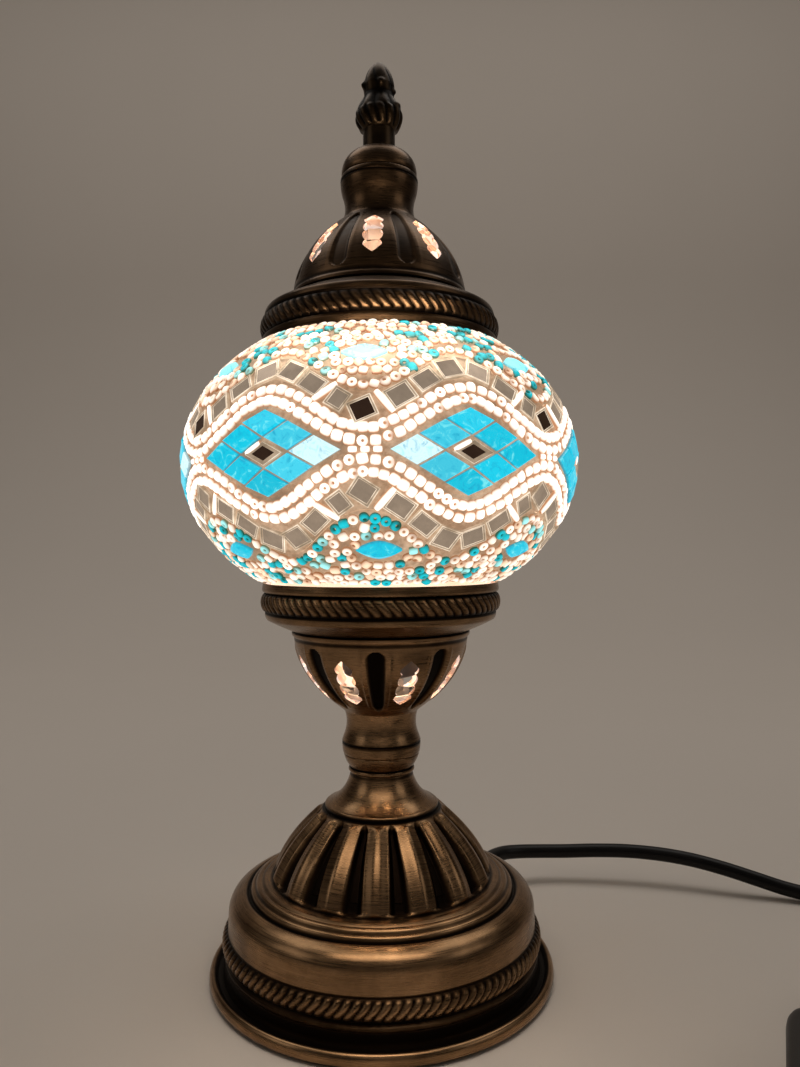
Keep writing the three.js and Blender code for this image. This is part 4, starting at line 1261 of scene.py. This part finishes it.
def make_mirror_band(level_name, side):
    """Mirror tiles along a bead wave. At each V stand a tile on its corner and two bugle beads."""
    batch = Batch([BEAD, GROUT, MIRROR, BRIGHT_EDGE, CLEAR_BEVEL, DARK_MIRROR])
    near, far = WAVE_W / 2 + 0.2, WAVE_W / 2 + MIRROR_W
    edges = sorted([near, far], reverse=side < 0)
    add_grout(batch, *(level_line(side, edge) for edge in edges), 288, 4)
    line = GlobeLine(level_line(side, (near + far) / 2))
    plain_tiles, gap = 5, 0.15
    corner_spin, corner_middle = (24, DARK_MIRROR) if side > 0 else (-34, MIRROR)
    first, last = 10.6, line.length[-1] / REPEATS - 18.2
    pitch = (last - first) / (plain_tiles - 1)
    for i in range(REPEATS):
        v = line.distance(PATTERN_TURN + PERIOD * (i + 0.5))
        for reach in np.linspace(first, last, plain_tiles):
            turn, z, slope = line.place(v + reach + chance.uniform(-0.2, 0.2))
            height = (MIRROR_W - 0.2) * math.cos(math.radians(slope)) - 0.3
            spin = slope + chance.uniform(-3, 3)
            width = min(pitch - gap, chance.uniform(7.8, 8.6))
            framed_tile(batch, turn, z, spin, width, height, MIRROR, chance.uniform(-0.03, 0.03))
        turn, z, slope = line.place(v - 8.3)
        framed_tile(batch, turn, z, slope - side * 6, 6.0, 6.6)
        turn, z = beside(*line.place(v - 0.8), -side * 1.2)
        framed_tile(batch, turn, z, corner_spin, 7.6, 6.8, corner_middle)
        for reach in (-13.0, 5.6):
            turn, z, slope = line.place(v + reach)
            spin = slope + 90 + 18 * math.copysign(1, slope)
            set_bead(batch, turn, z, spin, 1.2, 8.6, 0.45, 90, crown=0.3)
    batch.make(f"{level_name}_mirror_tiles", f"{level_name}_mirror_band", "globe", "mirror_tile")


def marquise(batch, turn, z, length, width, tint):
    """A boat-shaped cut glass stone with a flat table."""
    turns = np.radians(np.arange(0, 360, 15))
    boat = np.column_stack([length / 2 * np.cos(turns),
                            width / 2 * np.sign(np.sin(turns)) * (1 - np.abs(np.cos(turns)) ** 1.7)])
    points, faces = stacked([level(boat * scale, lift)
                             for scale, lift in ((1.0, -MOSAIC_T), (1.0, -0.3), (0.62, 0.45))])
    batch.add(on_globe(points, turn, z), faces, TURQUOISE, tint, np.repeat([0.0, 0.5, 1.0], len(boat)),
              smooth=False)


def field_spots(edge, rim_z, side, band):
    """Places for the beads of a field: a row along its edge, then level rings from the rim to it."""
    edge_spacing, ring_spacing, row_step = 3.25, 3.3, 3.1
    edge_row = GlobeLine(level_line(side, band + 2.0))
    spots = [(turn, z) for turn, z, _ in edge_row.evenly(edge_spacing)]
    z = rim_z - side * 0.8
    while side * (z - (PATTERN_MID_Z + side * (WAVE_TROUGH + band))) > 0:
        count = round(2 * math.pi * globe_reach(z) / ring_spacing)
        start = chance.uniform(0, 360)
        spots += [(start + 360 * i / count + chance.uniform(-0.3, 0.3), z + chance.uniform(-0.25, 0.25))
                  for i in range(count)]
        _, _, up, _ = globe_spot(0.0, z)
        z -= side * row_step * up[0][2]
    return [(turn, z) for turn, z in spots if side * (z - float(edge(turn))) >= 1.2]


def make_bead_field(level_name, side):
    """Mixed beads scattered from a mirror band to the globe's neck, round a stone by each V."""
    batch = Batch([BEAD, GROUT, TURQUOISE])
    band = WAVE_W / 2 + MIRROR_W + 0.2
    edge = level_line(side, band)
    rim_z = GLOBE_Z + side * (FIELD_END + 0.6)

    def rim(turns):
        return np.full(np.shape(turns), rim_z)

    add_grout(batch, *((edge, rim) if side > 0 else (rim, edge)), 252, 8)
    stone_rise, stone_shift, tint = (13.2, -1.0, STONE_TINT) if side > 0 else (-11.5, 3.0, TILE_TINT)
    stones = []
    for i in range(REPEATS):
        v_turn = PATTERN_TURN + PERIOD * (i + 0.5)
        turn, z = v_turn + stone_shift, float(edge(v_turn)) + stone_rise
        marquise(batch, turn, z, 13.6, 6.8, tint)
        stones.append(globe_spot(turn, z)[0][0])
    placed = []
    for turn, z in field_spots(edge, rim_z, side, band):
        at, east, up, _ = (part[0] for part in globe_spot(turn, z))
        to_stone = min(math.hypot(np.dot(at - stone, east) / 8.0, np.dot(at - stone, up) / 4.6)
                       for stone in stones)
        if to_stone >= 1 and all(np.linalg.norm(at - other) >= 2.75 for other in placed):
            placed.append(at)
            field_bead(batch, turn, z, side)
    batch.make(f"{level_name}_field_beads", f"{level_name}_bead_field", "globe", "seed_bead")


def field_bead(batch, turn, z, side):
    """One bead of a field. The turquoise ones gather in patches on both sides of a stone."""
    off = off_nearest(turn, PATTERN_TURN + PERIOD / 2, PERIOD)
    patchy = math.sin(math.radians(17 * turn + 55 * z)) > -0.1
    share = (0.75 if 9 < off < 20 and patchy else 0.08) if side > 0 else (0.5 if patchy else 0.1)
    if chance.random() < share:
        tint = PALE_TEAL_TINT if chance.random() < 0.3 else TEAL_TINT
    else:
        tint = PEACH_TINT if chance.random() < 0.25 else CREAM_TINT
    tint = shade(tint, chance.uniform(0.88, 1.12))
    size = chance.uniform(0.92, 1.08)
    if chance.random() < 0.6:
        tip, spin = chance.uniform(-32, 32), chance.uniform(0, 180)
        set_bead(batch, turn, z, spin, 1.68 * size, 2.3, 0.4, tip, tint)
    else:
        set_bead(batch, turn, z, chance.uniform(0, 180), 1.62 * size, 2.9 * size, 0.4, 90, tint)


def glass_tile(batch, plan, turn, z, tint):
    """A flat glass tile over four corners given east and up of a place, with worn top edges."""
    rings = []
    for inset, lift in ((0.0, -MOSAIC_T), (0.0, -0.55), (0.28, -0.12), (0.75, 0.05)):
        rings.append(level(plan * (1 - inset / np.linalg.norm(plan, axis=1, keepdims=True)), lift))
    points, faces = stacked(rings)
    points[4:, 2] += points[4:, :2] @ chance.uniform(-0.02, 0.02, 2)
    batch.add(on_globe(points, turn, z), faces, TURQUOISE, tint, np.repeat([0.0, 0.35, 0.8, 1.0], 4),
              smooth=False)


def middle_tile(batch, plan, turn, z):
    """The dark mirror in its clear frame, with a bugle bead by its upper left edge."""
    shrunk = plan * 0.86 + [0.35, -0.25]
    points, faces = stacked([level(shrunk * scale, lift) for scale, lift in (
        (1.0, -MOSAIC_T), (1.0, -0.2), (0.95, -0.1), (0.66, -0.3), (0.62, -0.35))])
    kinds = [CLEAR_BEVEL] * 4 + [BRIGHT_EDGE] * 4 + [CLEAR_BEVEL] * 8 + [DARK_MIRROR, CLEAR_BEVEL]
    batch.add(on_globe(points, turn, z), faces, kinds, smooth=False)
    way = plan[2] - plan[3]
    at = (plan[3] + plan[2]) / 2 + [0.45, -0.5]
    set_bead(batch, turn + math.degrees(at[0] / GLOBE_R), z + at[1],
             math.degrees(math.atan2(way[1], way[0])), 0.85, 6.2, 0.3, 90, crown=0.2)


def make_medallion(number):
    """Nine tiles in a diamond, with a dark mirror as the middle one and a pale tile at one tip. Three
    beads lie between it and the next medallion."""
    batch = Batch([BEAD, GROUT, TURQUOISE, BRIGHT_EDGE, CLEAR_BEVEL, DARK_MIRROR])
    centre = PATTERN_TURN + PERIOD * (number - 1)
    offset = -WAVE_W / 2 - 0.5
    add_grout(batch, level_line(-1, offset), level_line(1, offset), 36, 6,
              centre - PERIOD / 2, centre + PERIOD / 2)
    for shift in (-2.9, 0.0, 2.9):
        set_bead(batch, centre + PERIOD / 2 + shift, PATTERN_MID_Z, 0, 1.05, 2.6, 0.35, 90)
    half_w, half_h = math.radians(20.5) * GLOBE_R, 13.3
    reach = 0.5 - 0.046  # of a tile, from its middle to the gap round it
    tip_side = 1 if number % 2 == 0 or number == REPEATS else -1
    for i in (-1, 0, 1):
        for j in (-1, 0, 1):
            u, v = (corners((i - reach, j - reach), (i + reach, j + reach)) / 3).T
            x, y = (u - v) * half_w, (u + v) * half_h
            y = y * (1 + 0.24 * np.abs(x / half_w) * (1 - np.abs(x / half_w)))
            turn, z = centre + math.degrees(x.mean() / GLOBE_R), PATTERN_MID_Z + y.mean()
            plan = np.column_stack([x - x.mean(), y - y.mean()])
            if i == 0 and j == 0:
                middle_tile(batch, plan, turn, z)
                continue
            pale = {2: 0.75, 1: 0.05}.get(tip_side * (i - j), 0.0)
            tint = np.array(TILE_TINT) * (1 - pale) + np.array(PALE_TILE_TINT) * pale
            glass_tile(batch, plan, turn, z, tint * chance.uniform(0.9, 1.1))
    batch.make(f"medallion_tiles_{number}", f"medallion_{number}", "globe", "turquoise_glass")


# ---------------------------------------------------------------- stage


def make_stage():
    """A pale paper sweep: floor in front, rising to a wall far behind the lamp. In metres."""
    paper = cloudy("backdrop_paper", (3.0, 3.0), ((0.63, 0.575, 0.52), (0.67, 0.61, 0.555)),
                   Roughness=0.85, Specular_IOR_Level=0.25)
    half, front, back, bend, top, drop = 5.0, -3.4, 1.35, 0.7, 2.9, 0.0003
    angles = np.radians(90 * np.arange(17) / 16)
    rows = [(front, 0.0), *zip(back - bend + bend * np.sin(angles), bend - bend * np.cos(angles)),
            (back, top)]
    points = np.array([(x, y, z - drop) for y, z in rows for x in (-half, half)]) / MM
    faces = [[2 * i, 2 * i + 1, 2 * i + 3, 2 * i + 2] for i in range(len(rows) - 1)]
    add_object("sweep", points, faces, [paper])


def area_light(name, place, aim, size, watts, colour, spread=180):
    data = bpy.data.lights.new(name, "AREA")
    data.shape = "RECTANGLE"
    data.size, data.size_y = size
    data.energy = watts
    data.color = colour
    data.spread = math.radians(spread)
    light = bpy.data.objects.new(name, data)
    light.location = place
    light.rotation_euler = (Vector(aim) - Vector(place)).to_track_quat("-Z", "Y").to_euler()
    light.visible_camera = False
    bpy.context.scene.collection.objects.link(light)


def make_world():
    """Dim, warm grey room light."""
    world = bpy.data.worlds.new("room")
    world.use_nodes = True
    world.node_tree.nodes["Background"].inputs["Color"].default_value = (0.05, 0.046, 0.042, 1)
    bpy.context.scene.world = world
    bpy.context.scene.view_settings.view_transform = "Standard"


make_camera()
make_base()
make_gallery("lower_gallery_pressing", "lower_gallery", "stand", -1, LOWER_RIM_Z, LOWER_GALLERY_H,
             LOWER_WINDOW_TURN, STEM_HOLE_R, 56.2)
make_gallery("upper_gallery_pressing", "upper_gallery", "cap", 1, UPPER_RIM_Z, UPPER_GALLERY_H,
             UPPER_WINDOW_TURN, ROD_HOLE_R, 58.3)
make_neck_bowl()
make_collar()
make_finial()
make_felt()
make_lampholder()
make_bulb()
make_rod()
make_harp()
make_globe_glass()
make_rocker()
finish_hidden_parts()
make_cord("lamp_lead", lamp_route(), ["lamp_cord"],
          [make_cord_relief(), *make_switch(), make_switch_sleeve("lamp", 90),
           make_switch_sleeve("plug", -90)])
make_cord("mains_lead", mains_route(), ["plug_cord", "cord_coil", "plug_cord_tail"],
          [*make_plug(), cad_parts["cord_tie"]])
for name_of_level, level_side in (("upper", 1), ("lower", -1)):
    make_bead_wave(name_of_level, level_side)
    make_mirror_band(name_of_level, level_side)
    make_bead_field(name_of_level, level_side)
for medallion_number in range(1, REPEATS + 1):
    make_medallion(medallion_number)

make_stage()
make_world()
area_light("back", (0.0, 0.5, 1.7), (0, 0.2, 0), (2.6, 1.0), 12.0, (1.0, 0.94, 0.87))
area_light("left", (-1.2, -0.5, 0.8), (0, -0.45, 0), (0.7, 0.5), 0.9, (1.0, 0.92, 0.84))
area_light("right", (1.2, -0.5, 0.8), (0, -0.45, 0), (0.7, 0.5), 0.9, (1.0, 0.92, 0.84))
# The light that the lit globe throws on the base and on the cap's rope.
area_light("glow below", (0.0, -0.090, 0.148), (0, -0.072, 0), (0.13, 0.045), 0.026,
           (1.0, 0.86, 0.72), 100)
area_light("glow above", (0.0, -0.078, 0.203), (0, -0.042, 0.228), (0.08, 0.012), 0.03,
           (1.0, 0.84, 0.66), 90)
